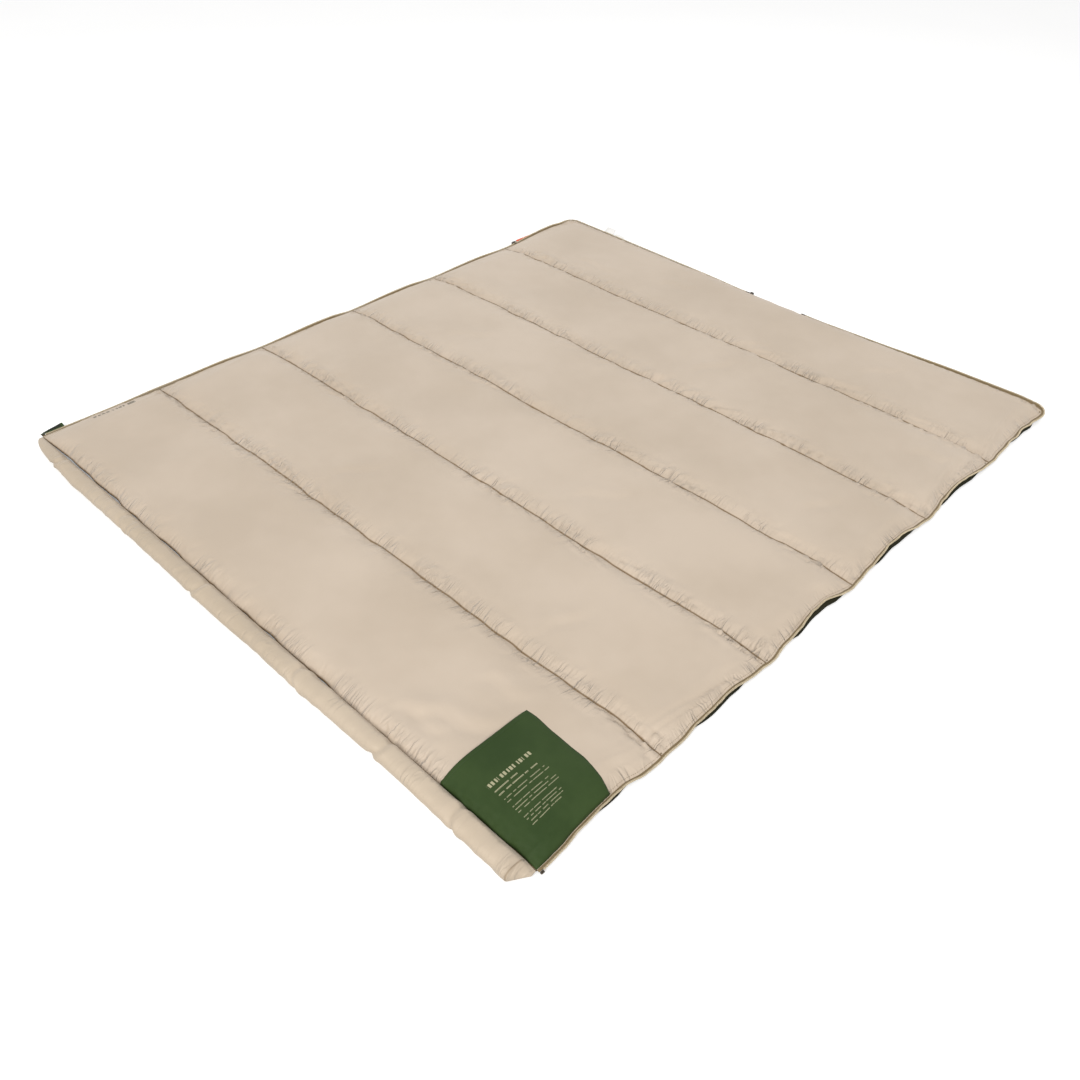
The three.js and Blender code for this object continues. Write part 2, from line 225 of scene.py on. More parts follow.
def linkPiece(name, data):
    piece = bpy.data.objects.new(name, data)
    bpy.context.scene.collection.objects.link(piece)
    return piece


def gridQuads(index, turned=False):
    corners = [index[:-1, :-1], index[1:, :-1], index[1:, 1:], index[:-1, 1:]]
    if turned:
        corners = corners[:1] + corners[:0:-1]
    return np.stack(corners, -1).reshape(-1, 4)


def gridMesh(name, points):
    index = np.arange(points.shape[0] * points.shape[1]).reshape(points.shape[:2])
    mesh = bpy.data.meshes.new(name)
    mesh.from_pydata(points.reshape(-1, 3).tolist(), [], gridQuads(index).tolist())
    mesh.shade_smooth()
    return linkPiece(name, mesh)


def meshPoints(piece):
    flat = np.empty(len(piece.data.vertices) * 3, np.float32)
    piece.data.vertices.foreach_get("co", flat)
    return flat.reshape(-1, 3).astype(float)


def pointValue(piece, name, values):
    attribute = piece.data.attributes.new(name, "FLOAT", "POINT")
    attribute.data.foreach_set("value", np.asarray(values, np.float32).ravel())


def cutMap(piece, across, along):
    layer = piece.data.uv_layers.new(name="cut")
    loops = np.empty(len(piece.data.loops), np.int32)
    piece.data.loops.foreach_get("vertex_index", loops)
    values = np.stack([across.ravel()[loops], along.ravel()[loops]], -1).astype(np.float32)
    layer.data.foreach_set("uv", values.ravel())


def plainCopy(source, name):
    evaluated = source.evaluated_get(bpy.context.evaluated_depsgraph_get())
    mesh = bpy.data.meshes.new_from_object(evaluated)
    bpy.data.objects.remove(source)
    return linkPiece(name, mesh)


# cloth simulation
drape = {
    "spacing": 0.0103,
    "rows": 17,  # grid lines across one channel, before they are doubled
    "frames": 14,
    "fullness": 0.036,  # how much larger the cloth is than its seams, beside them
    "middleFullness": 0.002,
    "pressure": 0.4,
    "hold": 0.55,  # how firmly the filling holds the middle of a channel
    "cap": 0.008,
    "middleShare": 0.25,  # share of the buckling kept in the middle of a channel
    "floor": 0.0008,  # the lowest that the shell lies
}

clothBehaviour = {"quality": 4, "mass": 0.15, "tension_stiffness": 12, "compression_stiffness": 12,
                  "shear_stiffness": 3, "bending_stiffness": 0.35, "tension_damping": 6, "air_damping": 4}


def channelSteps(perChannel):
    # grid lines across the channels, closer together beside the seams
    share = np.linspace(0, 1, perChannel + 1)
    eased = share - 0.6 * np.sin(2 * np.pi * share) / (2 * np.pi)
    lines = [seamYs[i] + eased[:-1] * pitch for i in range(6)]
    return np.append(np.concatenate(lines), footY)


def vertexGroup(piece, name, weights):
    group = piece.vertex_groups.new(name=name)
    steps = np.round(weights.ravel(), 2)
    for weight in np.unique(steps[steps > 0]):
        group.add(np.flatnonzero(steps == weight).tolist(), float(weight), "REPLACE")


def simulateCloth(name, xs, ys, points, upward):
    sheet = gridMesh(name, points)
    if not upward:
        sheet.data.flip_normals()
    toEdge = np.minimum(clothX - np.abs(xs)[:, None], seamDistance(ys)[None, :])
    hold = np.where(toEdge < 1e-4, 1.0, drape["hold"] * smooth(toEdge, 0.025, 0.11))
    vertexGroup(sheet, "pinned", hold)
    vertexGroup(sheet, "loose", 1 - smooth(toEdge, 0.03, 0.09))
    modifier = sheet.modifiers.new("cloth", "CLOTH")
    settings = modifier.settings
    for title, value in clothBehaviour.items():
        setattr(settings, title, value)
    settings.vertex_group_shrink = "loose"
    settings.shrink_min = -drape["middleFullness"]
    settings.shrink_max = -drape["fullness"]
    settings.vertex_group_mass = "pinned"
    settings.pin_stiffness = 1.0
    settings.use_pressure = True
    settings.uniform_pressure_force = drape["pressure"]
    settings.effector_weights.gravity = 0
    modifier.collision_settings.use_collision = False
    modifier.collision_settings.use_self_collision = False
    scene = bpy.context.scene
    modifier.point_cache.frame_start = 1
    modifier.point_cache.frame_end = drape["frames"]
    for number in range(1, drape["frames"] + 1):
        scene.frame_set(number)
    moved = meshPoints(sheet.evaluated_get(bpy.context.evaluated_depsgraph_get())).reshape(points.shape)
    scene.frame_set(1)
    bpy.data.objects.remove(sheet)
    shift = (moved - points) * (1 - (1 - drape["middleShare"]) * smooth(toEdge, 0.03, 0.08))[..., None]
    length = np.linalg.norm(shift, axis=-1, keepdims=True) + 1e-12
    return points + shift * np.minimum(1, drape["cap"] / length)


puckers = {
    "seam": 0.0085,  # height of the gathers beside a quilting seam
    "reach": 0.012,
    "edge": 0.0060,  # and beside the zip
    "edgeReach": 0.018,
    "spacing": 0.015,
    "edgeSpacing": 0.034,
    # long soft creases: middle x, middle y, direction, half length, depth
    "creases": [(0.66, -1.01, 0.55, 0.10, 0.0062), (0.60, -1.06, 0.25, 0.07, 0.0050),
                (0.66, -0.88, 0.2, 0.06, 0.0042), (-0.2, -0.6, 1.1, 0.07, 0.0022),
                (0.35, -0.2, 0.9, 0.08, 0.0024), (0.8, 0.2, 1.3, 0.06, 0.0024),
                (-0.55, 0.15, 0.8, 0.07, 0.0022), (0.15, 0.58, 1.2, 0.08, 0.0024),
                (-0.3, 0.95, 0.5, 0.07, 0.0024), (0.55, 0.95, 1.0, 0.07, 0.0024),
                (-0.62, 0.86, 0.1, 0.09, 0.0030), (-0.50, 0.72, -0.3, 0.06, 0.0024),
                (0.62, -0.62, 1.4, 0.07, 0.0026), (0.9, 0.62, 0.4, 0.06, 0.0030)],
}


def gather(along, away, reach, seed, spacing):
    # short folds that start at a sewn line and fade away from it
    lean = 0.55 * softNoise(along, 0 * along, 0.11, seed) * away
    spread = 1 + away / 0.09
    folds = softNoise((along + lean) / spread, 0 * along, spacing, seed + 1)
    folds = signedPower(folds, 1.4)
    patches = smooth(softNoise(along, 0 * along, 0.13, seed + 2), -0.5, 0.6)
    share = away / reach
    return folds * (0.25 + 0.75 * patches) * share * np.exp(1 - share)


def addPuckers(xs, ys, points):
    x, y = np.meshgrid(xs, ys, indexing="ij")
    index = channelPlace(y)[0]
    out = np.zeros_like(x)
    for number in range(6):
        here = index == number
        for side, away in ((0, y - seamYs[number]), (1, seamYs[number + 1] - y)):
            size = puckers["edge"] if (number, side) in ((0, 0), (5, 1)) else puckers["seam"]
            nearEnd = 1 + 0.9 * smooth(x, clothX - 0.3, clothX - 0.05)
            seed = 200 + 10 * (number + side) + side
            folds = gather(x, np.maximum(away, 0), puckers["reach"], seed, puckers["spacing"])
            out += np.where(here, size * nearEnd * folds, 0)
    for side in (-1, 1):
        away = clothX - side * x
        folds = gather(y, np.maximum(away, 0), puckers["edgeReach"], 400 + side * 20, puckers["edgeSpacing"])
        out += np.where(away < 0.3, puckers["edge"] * folds, 0)
    # a few long soft creases across the crowns
    for number, (cx, cy, turn, length, depth) in enumerate(puckers["creases"]):
        along = (x - cx) * math.cos(turn) + (y - cy) * math.sin(turn)
        across = (y - cy) * math.cos(turn) - (x - cx) * math.sin(turn) + 0.012 * np.sin(along / length * 3)
        out -= depth * np.exp(-(across / 0.015) ** 2) * np.exp(-(along / length) ** 4)
        out += 0.6 * depth * np.exp(-((across - 0.032) / 0.022) ** 2) * np.exp(-(along / length) ** 4)
    keep = smooth(np.minimum(seamDistance(y), clothX - np.abs(x)), 0.0, 0.008)
    points[..., 2] += out * keep
    return points


def refine(points):
    for axis in (0, 1):
        lines = np.swapaxes(points, 0, axis)
        ends = np.concatenate([2 * lines[:1] - lines[1:2], lines, 2 * lines[-1:] - lines[-2:-1]])
        middles = (9 * (lines[:-1] + lines[1:]) - ends[:-3] - ends[3:]) / 16
        doubled = np.empty((2 * len(lines) - 1,) + lines.shape[1:])
        doubled[::2] = lines
        doubled[1::2] = middles
        points = np.swapaxes(doubled, 0, axis)
    return points


def refineLines(values):
    doubled = np.empty(2 * len(values) - 1)
    doubled[::2] = values
    doubled[1::2] = (values[:-1] + values[1:]) / 2
    return doubled


class Cloth:

    def __init__(self, xs, ys, points):
        self.xs, self.ys, self.points = xs, ys, points

    def at(self, x, y):
        x, y = np.broadcast_arrays(np.asarray(x, float), np.asarray(y, float))
        a = np.interp(x, self.xs, np.arange(len(self.xs)))
        b = np.interp(y, self.ys, np.arange(len(self.ys)))
        i = np.minimum(a.astype(int), len(self.xs) - 2)
        j = np.minimum(b.astype(int), len(self.ys) - 2)
        s, t = (a - i)[..., None], (b - j)[..., None]
        p = self.points
        low = p[i, j] * (1 - s) + p[i + 1, j] * s
        high = p[i, j + 1] * (1 - s) + p[i + 1, j + 1] * s
        return low * (1 - t) + high * t


def makeCloth(name, under):
    spacing = drape["spacing"]
    xs = np.linspace(-clothX, clothX, int(2 * clothX / spacing) // 2 * 2 + 1)
    ys = channelSteps(drape["rows"])
    gridX, gridY = np.meshgrid(xs, ys, indexing="ij")
    points = clothSurface(gridX, gridY, under)
    points = simulateCloth(name, xs, ys, points, not under)
    if under:
        points[..., 2] = np.maximum(points[..., 2], drape["floor"])
    points = refine(points)
    xs, ys = refineLines(xs), refineLines(ys)
    if under:
        points[..., 2] = np.maximum(points[..., 2], drape["floor"])
    else:
        points = addPuckers(xs, ys, points)
    return Cloth(xs, ys, points)


lining = makeCloth("liningDrape", False)
print("lining draped, top at", round(float(lining.points[..., 2].max()), 4))
shell = makeCloth("shellDrape", True)
print("shell draped")


# shader groups used by more than one material
def newGroup(name, inputs, outputs):
    group = bpy.data.node_groups.new(name, "ShaderNodeTree")
    for title, value in inputs.items():
        socket = group.interface.new_socket(title, in_out="INPUT", socket_type="NodeSocketFloat")
        socket.default_value = value
    for title in outputs:
        group.interface.new_socket(title, in_out="OUTPUT", socket_type="NodeSocketFloat")
    return group, group.nodes.new("NodeGroupInput"), group.nodes.new("NodeGroupOutput")


def mathNode(tree, operation, first, second=None, third=None):
    node = tree.nodes.new("ShaderNodeMath")
    node.operation = operation
    for socket, value in zip(node.inputs, (first, second, third)):
        if value is None:
            continue
        if isinstance(value, (int, float)):
            socket.default_value = value
        else:
            tree.links.new(value, socket)
    return node.outputs[0]


def mapRange(tree, value, low, high, outLow=0.0, outHigh=1.0):
    node = tree.nodes.new("ShaderNodeMapRange")
    node.interpolation_type = "SMOOTHSTEP"
    tree.links.new(value, node.inputs["Value"])
    for title, number in (("From Min", low), ("From Max", high), ("To Min", outLow), ("To Max", outHigh)):
        node.inputs[title].default_value = number
    return node.outputs[0]


def objectPlace(tree):
    return tree.nodes.new("ShaderNodeTexCoord").outputs["Object"]


def noiseNode(tree, vector, **settings):
    node = tree.nodes.new("ShaderNodeTexNoise")
    for title, value in settings.items():
        node.inputs[title].default_value = value
    tree.links.new(vector, node.inputs["Vector"])
    return node


def splitVector(tree, vector):
    node = tree.nodes.new("ShaderNodeSeparateXYZ")
    tree.links.new(vector, node.inputs[0])
    return node.outputs


def makeWeaveGroup():
    group, given, result = newGroup(
        "weave", {"Threads per metre": 1800.0, "Cloud scale": 5.0, "Slub": 0.3}, ("Height", "Shade"))
    links = group.links
    place = objectPlace(group)
    scaled = group.nodes.new("ShaderNodeVectorMath")
    scaled.operation = "SCALE"
    links.new(place, scaled.inputs[0])
    links.new(given.outputs["Threads per metre"], scaled.inputs["Scale"])
    parts = splitVector(group, scaled.outputs[0])
    waves = [mathNode(group, "SINE", mathNode(group, "MULTIPLY", parts[axis], math.pi)) for axis in "XY"]
    height = mathNode(group, "ABSOLUTE", mathNode(group, "MULTIPLY", waves[0], waves[1]))
    slub = noiseNode(group, place, Scale=420, Detail=3)
    rough = mathNode(group, "MULTIPLY", slub.outputs["Fac"], given.outputs["Slub"])
    links.new(mathNode(group, "ADD", height, rough), result.inputs["Height"])
    cloud = noiseNode(group, place, Detail=4, Roughness=0.6)
    links.new(given.outputs["Cloud scale"], cloud.inputs["Scale"])
    links.new(cloud.outputs["Fac"], result.inputs["Shade"])
    return group


def makeCreaseGroup():
    # small sharp folds that run away from a sewn line, in patches
    group, given, result = newGroup(
        "creases", {"Near seam": 0.0, "Scale": 60.0, "Across": 1.0, "Along": 0.2}, ("Height",))
    links = group.links
    place = objectPlace(group)
    parts = splitVector(group, place)
    stretched = group.nodes.new("ShaderNodeCombineXYZ")
    for number, title in enumerate(("Across", "Along")):
        scaled = mathNode(group, "MULTIPLY", parts[number], given.outputs[title])
        links.new(scaled, stretched.inputs[number])
    noise = noiseNode(group, stretched.outputs[0], Detail=1.5, Distortion=0.9)
    links.new(given.outputs["Scale"], noise.inputs["Scale"])
    offset = mathNode(group, "ABSOLUTE", mathNode(group, "SUBTRACT", noise.outputs["Fac"], 0.5))
    ridge = mathNode(group, "MAXIMUM", mathNode(group, "MULTIPLY_ADD", offset, -7.0, 1.0), 0.0)
    patches = noiseNode(group, place, Scale=8, Detail=1)
    keep = mapRange(group, patches.outputs["Fac"], 0.38, 0.58, 0.25, 1.0)
    height = mathNode(group, "MULTIPLY_ADD", ridge, 0.45, noise.outputs["Fac"])
    height = mathNode(group, "MULTIPLY", height, keep)
    height = mathNode(group, "MULTIPLY", height, given.outputs["Near seam"])
    links.new(height, result.inputs["Height"])
    return group


def makePrintGroup():
    # one printed row of plain dashes, placed by the flat cut's own coordinates
    group, given, result = newGroup(
        "printedRow", {"Across": 0.0, "Half height": 0.001, "Start": 0.0, "End": 0.1,
                       "Marks per metre": 200.0, "Filled": 0.6}, ("Mask",))
    cut = group.nodes.new("ShaderNodeUVMap")
    cut.uv_map = "cut"
    across, along = splitVector(group, cut.outputs[0])[:2]
    offset = mathNode(group, "ABSOLUTE", mathNode(group, "SUBTRACT", across, given.outputs["Across"]))
    inRow = mathNode(group, "LESS_THAN", offset, given.outputs["Half height"])
    begun = mathNode(group, "GREATER_THAN", along, given.outputs["Start"])
    notEnded = mathNode(group, "LESS_THAN", along, given.outputs["End"])
    beat = mathNode(group, "FRACT", mathNode(group, "MULTIPLY", along, given.outputs["Marks per metre"]))
    mark = mathNode(group, "LESS_THAN", beat, given.outputs["Filled"])
    word = group.nodes.new("ShaderNodeTexNoise")
    word.noise_dimensions = "1D"
    word.inputs["Scale"].default_value = 90
    word.inputs["Detail"].default_value = 0
    rowShift = mathNode(group, "MULTIPLY_ADD", given.outputs["Across"], 37.0, along)
    group.links.new(rowShift, word.inputs["W"])
    filled = mathNode(group, "GREATER_THAN", word.outputs["Fac"], 0.37)
    mask = mathNode(group, "MULTIPLY", mathNode(group, "MULTIPLY", inRow, begun), mathNode(
        group, "MULTIPLY", mathNode(group, "MULTIPLY", notEnded, mark), filled))
    group.links.new(mask, result.inputs["Mask"])
    return group


printGroup = makePrintGroup()
weaveGroup = makeWeaveGroup()
creaseGroup = makeCreaseGroup()


def newMaterial(name, **settings):
    material = bpy.data.materials.new(name)
    material.use_nodes = True
    shader = material.node_tree.nodes["Principled BSDF"]
    for title, value in settings.items():
        shader.inputs[title.replace("_", " ")].default_value = value
    return material, material.node_tree, shader


def placeGroup(tree, group, **values):
    node = tree.nodes.new("ShaderNodeGroup")
    node.node_tree = group
    for title, value in values.items():
        node.inputs[title.replace("_", " ")].default_value = value
    return node


def mixColour(tree, factor, first, second, blend="MIX"):
    node = tree.nodes.new("ShaderNodeMix")
    node.data_type = "RGBA"
    node.blend_type = blend
    for socket, value in ((node.inputs[0], factor), (node.inputs[6], first), (node.inputs[7], second)):
        if isinstance(value, (int, float)):
            socket.default_value = value
        elif isinstance(value, tuple):
            socket.default_value = (*value, 1) if len(value) == 3 else value
        else:
            tree.links.new(value, socket)
    return node.outputs[2]


def bump(tree, height, strength, distance, under=None):
    node = tree.nodes.new("ShaderNodeBump")
    node.inputs["Strength"].default_value = strength
    node.inputs["Distance"].default_value = distance
    tree.links.new(height, node.inputs["Height"])
    if under is not None:
        tree.links.new(under, node.inputs["Normal"])
    return node.outputs[0]


def printMask(tree, rows):
    mask = None
    for across, halfHeight, start, end, marks, filled in rows:
        row = placeGroup(tree, printGroup, Across=across, Half_height=halfHeight, Start=start, End=end,
                         Marks_per_metre=marks, Filled=filled).outputs[0]
        mask = row if mask is None else mathNode(tree, "MAXIMUM", mask, row)
    return mask


# line that the creases run from, stretch across and along the quilt, reach
creaseRuns = (("seam", 1.0, 0.2, 0.055), ("edge", 0.3, 0.9, 0.034))


def clothMaterial(name, look):
    # woven cloth: threads with painted light on their tops, cloudy tone, a sheen, a dark seam line of thread
    # colour and painted shadow, painted shade beside the seams, and creases
    material, tree, shader = newMaterial(
        name, Roughness=look["roughness"], Sheen_Weight=look["sheen"], Sheen_Roughness=0.45,
        Specular_IOR_Level=look["specular"])
    shader.inputs["Sheen Tint"].default_value = (*look["sheenTint"], 1)
    weave = placeGroup(tree, weaveGroup, Threads_per_metre=look["threads"], Cloud_scale=look["clouds"])
    shade = mapRange(tree, weave.outputs["Shade"], 0.3, 0.7)
    colour = mixColour(tree, shade, look["dark"], look["light"])
    # raised threads and slub painted lighter: painted light on the thread tops and painted shade between
    # them, with the slub's own uneven tone
    threadLightAndSlub = mapRange(tree, weave.outputs["Height"], 0.0, 1.1, 0.0, look["threadContrast"])
    colour = mixColour(tree, threadLightAndSlub, colour, look["light"])
    normal = None
    if look.get("seamColour"):
        seam = tree.nodes.new("ShaderNodeAttribute")
        seam.attribute_name = "seam"
        # the seam's thin dark line: the thread's own colour with painted shadow in the sewn groove
        near = mapRange(tree, seam.outputs["Fac"], look["seamWidth"], 0.0005)
        colour = mixColour(tree, near, colour, look["seamColour"])
        # painted shade over the valley on both sides of each seam
        soft = mathNode(tree, "MULTIPLY", mapRange(tree, seam.outputs["Fac"], 0.022, 0.0), look["seamShade"])
        colour = mixColour(tree, soft, colour, look["seamColour"])
        for title, across, along, reach in creaseRuns:
            sewn = tree.nodes.new("ShaderNodeAttribute")
            sewn.attribute_name = title
            crease = placeGroup(tree, creaseGroup, Scale=look["creaseScale"], Across=across, Along=along)
            tree.links.new(mapRange(tree, sewn.outputs["Fac"], reach, 0.004), crease.inputs["Near seam"])
            normal = bump(tree, crease.outputs["Height"], look["creases"], 0.009, normal)
    if look.get("print"):
        colour = mixColour(tree, printMask(tree, look["print"]), colour, look["ink"])
    tree.links.new(colour, shader.inputs["Base Color"])
    normal = bump(tree, weave.outputs["Height"], look["weave"], 0.0004, normal)
    tree.links.new(normal, shader.inputs["Normal"])
    return material


# printed rows: place across, half height, start, end, marks per metre, share that is filled
pocketPrint = [(0.8260, 0.0050, -1.078, -0.961, 120.0, 0.66)]
pocketPrint += [(x, 0.0016, -1.077, end, 330.0, 0.7) for x, end in ((0.8440, -1.013), (0.8555, -0.970))]
pocketPrint += [(x, 0.0010, -1.077, end, 420.0, 0.66) for x, end in (
    (0.8700, -0.964), (0.8790, -0.960), (0.8945, -0.978), (0.9030, -0.963), (0.9115, -0.962),
    (0.9270, -0.983), (0.9350, -0.979), (0.9430, -0.981), (0.9510, -0.990))]
liningPrint = [(-0.972, 0.0060, -0.990, -0.888, 75.0, 0.72), (-0.972, 0.0095, -0.878, -0.853, 40.0, 1.0)]

# each seam colour paints the seams' dark line, thread with painted shadow, and the painted shade beside them
clothLooks = {
    "liningCloth": {
        "dark": (0.522, 0.428, 0.330), "light": (0.60, 0.50, 0.398), "roughness": 0.5, "sheen": 0.35,
        "sheenTint": (1.0, 0.93, 0.86), "specular": 0.35, "threads": 1500.0, "clouds": 2.2,
        "threadContrast": 0.25, "weave": 0.25, "seamColour": (0.18, 0.11, 0.045), "seamWidth": 0.0044,
        "seamShade": 0.05, "creases": 0.95, "creaseScale": 50.0,
    },
    "shellCloth": {
        "dark": (0.013, 0.013, 0.006), "light": (0.024, 0.023, 0.011), "roughness": 0.8, "sheen": 0.02,
        "sheenTint": (0.8, 0.8, 0.6), "specular": 0.12, "threads": 1300.0, "clouds": 3.0,
        "threadContrast": 0.35, "weave": 0.4, "seamColour": (0.012, 0.014, 0.007), "seamWidth": 0.003,
        "seamShade": 0.1, "creases": 0.4, "creaseScale": 55.0,
    },
    "pocketCloth": {
        "dark": (0.025, 0.050, 0.011), "light": (0.039, 0.069, 0.018), "roughness": 0.6, "sheen": 0.03,
        "sheenTint": (0.7, 0.9, 0.6), "specular": 0.2, "threads": 1300.0, "clouds": 7.0,
        "threadContrast": 0.3, "weave": 0.35, "print": pocketPrint, "ink": (0.40, 0.38, 0.24),
    },
}
# the roll's cover is the lining's cloth painted darker and yellower: painted shade over the whole roll, with
# more painted shade beside its seam
clothLooks["rollCloth"] = dict(clothLooks["liningCloth"], seamShade=0.12, seamWidth=0.004, creases=0.6,
                               dark=(0.482, 0.394, 0.290), light=(0.555, 0.460, 0.352))
clothLooks["tabCloth"] = dict(clothLooks["pocketCloth"], print=None)
clothLooks["liningCloth"].update(print=liningPrint, ink=(0.16, 0.13, 0.085))
materials = {name: clothMaterial(name, look) for name, look in clothLooks.items()}


def simpleMaterial(name, dark, light, roughness, grain, depth=0.0003, strength=0.3, **settings):
    material, tree, shader = newMaterial(name, **settings)
    noise = noiseNode(tree, objectPlace(tree), Scale=grain, Detail=5).outputs["Fac"]
    colour = mixColour(tree, mapRange(tree, noise, 0.3, 0.7), dark, light)
    tree.links.new(colour, shader.inputs["Base Color"])
    gloss = mapRange(tree, noise, 0.3, 0.7, roughness - 0.06, roughness + 0.06)
    tree.links.new(gloss, shader.inputs["Roughness"])
    tree.links.new(bump(tree, noise, strength, depth), shader.inputs["Normal"])
    return material


# dark and light shade, roughness, grain per metre, and where they differ the bump's depth and strength
simpleLooks = {
    "batting": ((0.80, 0.79, 0.75), (0.92, 0.91, 0.88), 0.9, 90.0, 0.002, 0.6),
    "thread": ((0.20, 0.14, 0.08), (0.33, 0.25, 0.15), 0.6, 900.0),
    "threadGreen": ((0.03, 0.055, 0.022), (0.055, 0.09, 0.04), 0.6, 900.0),
    "zipTape": ((0.15, 0.105, 0.045), (0.24, 0.17, 0.08), 0.65, 700.0, 0.0004, 0.6),
    "zipCoil": ((0.56, 0.47, 0.32), (0.70, 0.60, 0.43), 0.35, 500.0),
    "zipPlastic": ((0.030, 0.018, 0.010), (0.05, 0.032, 0.02), 0.4, 400.0),
    "zipMetal": ((0.07, 0.055, 0.04), (0.13, 0.11, 0.085), 0.35, 300.0),
    "grip": ((0.68, 0.09, 0.03), (0.80, 0.13, 0.05), 0.5, 600.0, 0.0003, 0.4),
    "hook": ((0.012, 0.014, 0.010), (0.035, 0.038, 0.028), 0.9, 1500.0, 0.001, 1.0),
    "label": ((0.80, 0.79, 0.76), (0.90, 0.89, 0.87), 0.4, 800.0, 0.0002, 0.3),
}
otherSettings = {
    "batting": {"Sheen_Weight": 0.5}, "zipTape": {"Sheen_Weight": 0.2}, "label": {"Sheen_Weight": 0.3},
    "zipMetal": {"Metallic": 0.9},
}
for name, look in simpleLooks.items():
    materials[name] = simpleMaterial(name, *look, **otherSettings.get(name, {}))
print("materials made")


def dress(piece, material):
    piece.data.materials.clear()
    piece.data.materials.append(materials[material])
    return piece


def bendAtFold(piece):
    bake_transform(piece)


def attachFolding(piece, slot, *nodes):
    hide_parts(*nodes)
    bendAtFold(piece)


def attach(piece, slot, body, *nodes):
    if nodes:
        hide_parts(*nodes)
    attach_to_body(piece, body)


def clothPiece(name, cloth, material, slot, nodes):
    piece = gridMesh(name, cloth.points)
    gridX, gridY = np.meshgrid(cloth.xs, cloth.ys, indexing="ij")
    pointValue(piece, "seam", seamDistance(gridY))
    besideSeam = 1 - smooth(seamDistance(gridY), 0.0, 0.05)
    pointValue(piece, "edge", clothX - np.abs(gridX) + 0.06 * besideSeam)
    cutMap(piece, gridX, gridY)
    dress(piece, material)
    if name == "shell":
        piece.data.flip_normals()
    attachFolding(piece, slot, *nodes)
    return piece


liningPiece = clothPiece("lining", lining, "liningCloth", "lining_cloth", ["lining_left", "lining_right"])
shellPiece = clothPiece("shell", shell, "shellCloth", "shell_cloth", ["shell_left", "shell_right"])
print("cloths placed")


# batting
def closedPad(name, top, bottom):
    rows, columns = top.shape[:2]
    count = rows * columns
    index = np.arange(count).reshape(rows, columns)
    faces = []
    for grid, flip in ((index, False), (index + count, True)):
        quads = gridQuads(grid)
        faces += (quads[:, ::-1] if flip else quads).tolist()
    rim = np.concatenate([index[:, 0], index[-1, 1:], index[-2::-1, -1], index[0, -2:0:-1]])
    for a, b in zip(rim, np.roll(rim, -1)):
        faces.append([int(a), int(a + count), int(b + count), int(b)])
    mesh = bpy.data.meshes.new(name)
    points = np.concatenate([top.reshape(-1, 3), bottom.reshape(-1, 3)])
    mesh.from_pydata(points.tolist(), [], faces)
    mesh.shade_smooth()
    return linkPiece(name, mesh)


padding = {"inset": 0.03, "clear": 0.0035, "near": 0.016, "columns": 110, "rows": 24}
nearby = ((1, 0), (-1, 0), (0, 1), (0, -1), (0.7, 0.7), (0.7, -0.7), (-0.7, 0.7), (-0.7, -0.7))


def makeBatting(number):
    inset = padding["inset"]
    xs = np.linspace(-clothX + inset, clothX - inset, padding["columns"])
    ys = np.linspace(seamYs[number - 1] + inset, seamYs[number] - inset, padding["rows"])
    gridX, gridY = np.meshgrid(xs, ys, indexing="ij")
    top, bottom = lining.at(gridX, gridY), shell.at(gridX, gridY)
    highest, lowest = top[..., 2].copy(), bottom[..., 2].copy()
    near = padding["near"]
    for stepX, stepY in nearby:
        highest = np.minimum(highest, lining.at(gridX + near * stepX, gridY + near * stepY)[..., 2])
        lowest = np.maximum(lowest, shell.at(gridX + near * stepX, gridY + near * stepY)[..., 2])
    level = (highest + lowest) / 2
    half = np.maximum((highest - lowest) / 2 - padding["clear"], 0.0003)
    place = (top + bottom) / 2
    place[..., 0] *= 1 - 0.006 * smooth(np.abs(gridX), clothX - 0.2, clothX)
    top, bottom = place.copy(), place.copy()
    top[..., 2], bottom[..., 2] = level + half, level - half
    pad = dress(closedPad(f"batting_{number}", top, bottom), "batting")
    attachFolding(pad, "batting", f"batting_left_{number}", f"batting_right_{number}")


for number in range(1, 7):
    makeBatting(number)
print("batting made")


# head roll: a stuffed collar sewn along the head seam
rollLow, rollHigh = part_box("head_roll_cover_left")
rollSeamY = rollHigh.y
headRoll = {
    "halfWidth": (rollHigh.y - rollLow.y) / 2,
    "halfHeight": 0.0208,
    "seamZ": 0.0146,
    "around": 44,
    "along": 380,
    "leftTaper": 0.17,  # length over which the left end closes to a point
    "rightFold": 0.026,  # length of the folded wrap at the right end
    "wall": 0.0095,
    "slimmer": 0.14,  # share by which the roll is thinner towards its left end
    "squareness": 0.86,  # 1 is a round section
    "middleZ": 0.0210,
    "creaseDepth": 0.0048,
    "gatherDepth": 0.0042,  # of the small folds beside its seam
    # gathered creases round the roll: place, lean
    "creases": [(-0.86, 1.2), (-0.47, -0.8), (-0.12, 0.9), (0.31, -1.1), (0.58, 0.8), (0.83, -0.7)],
}


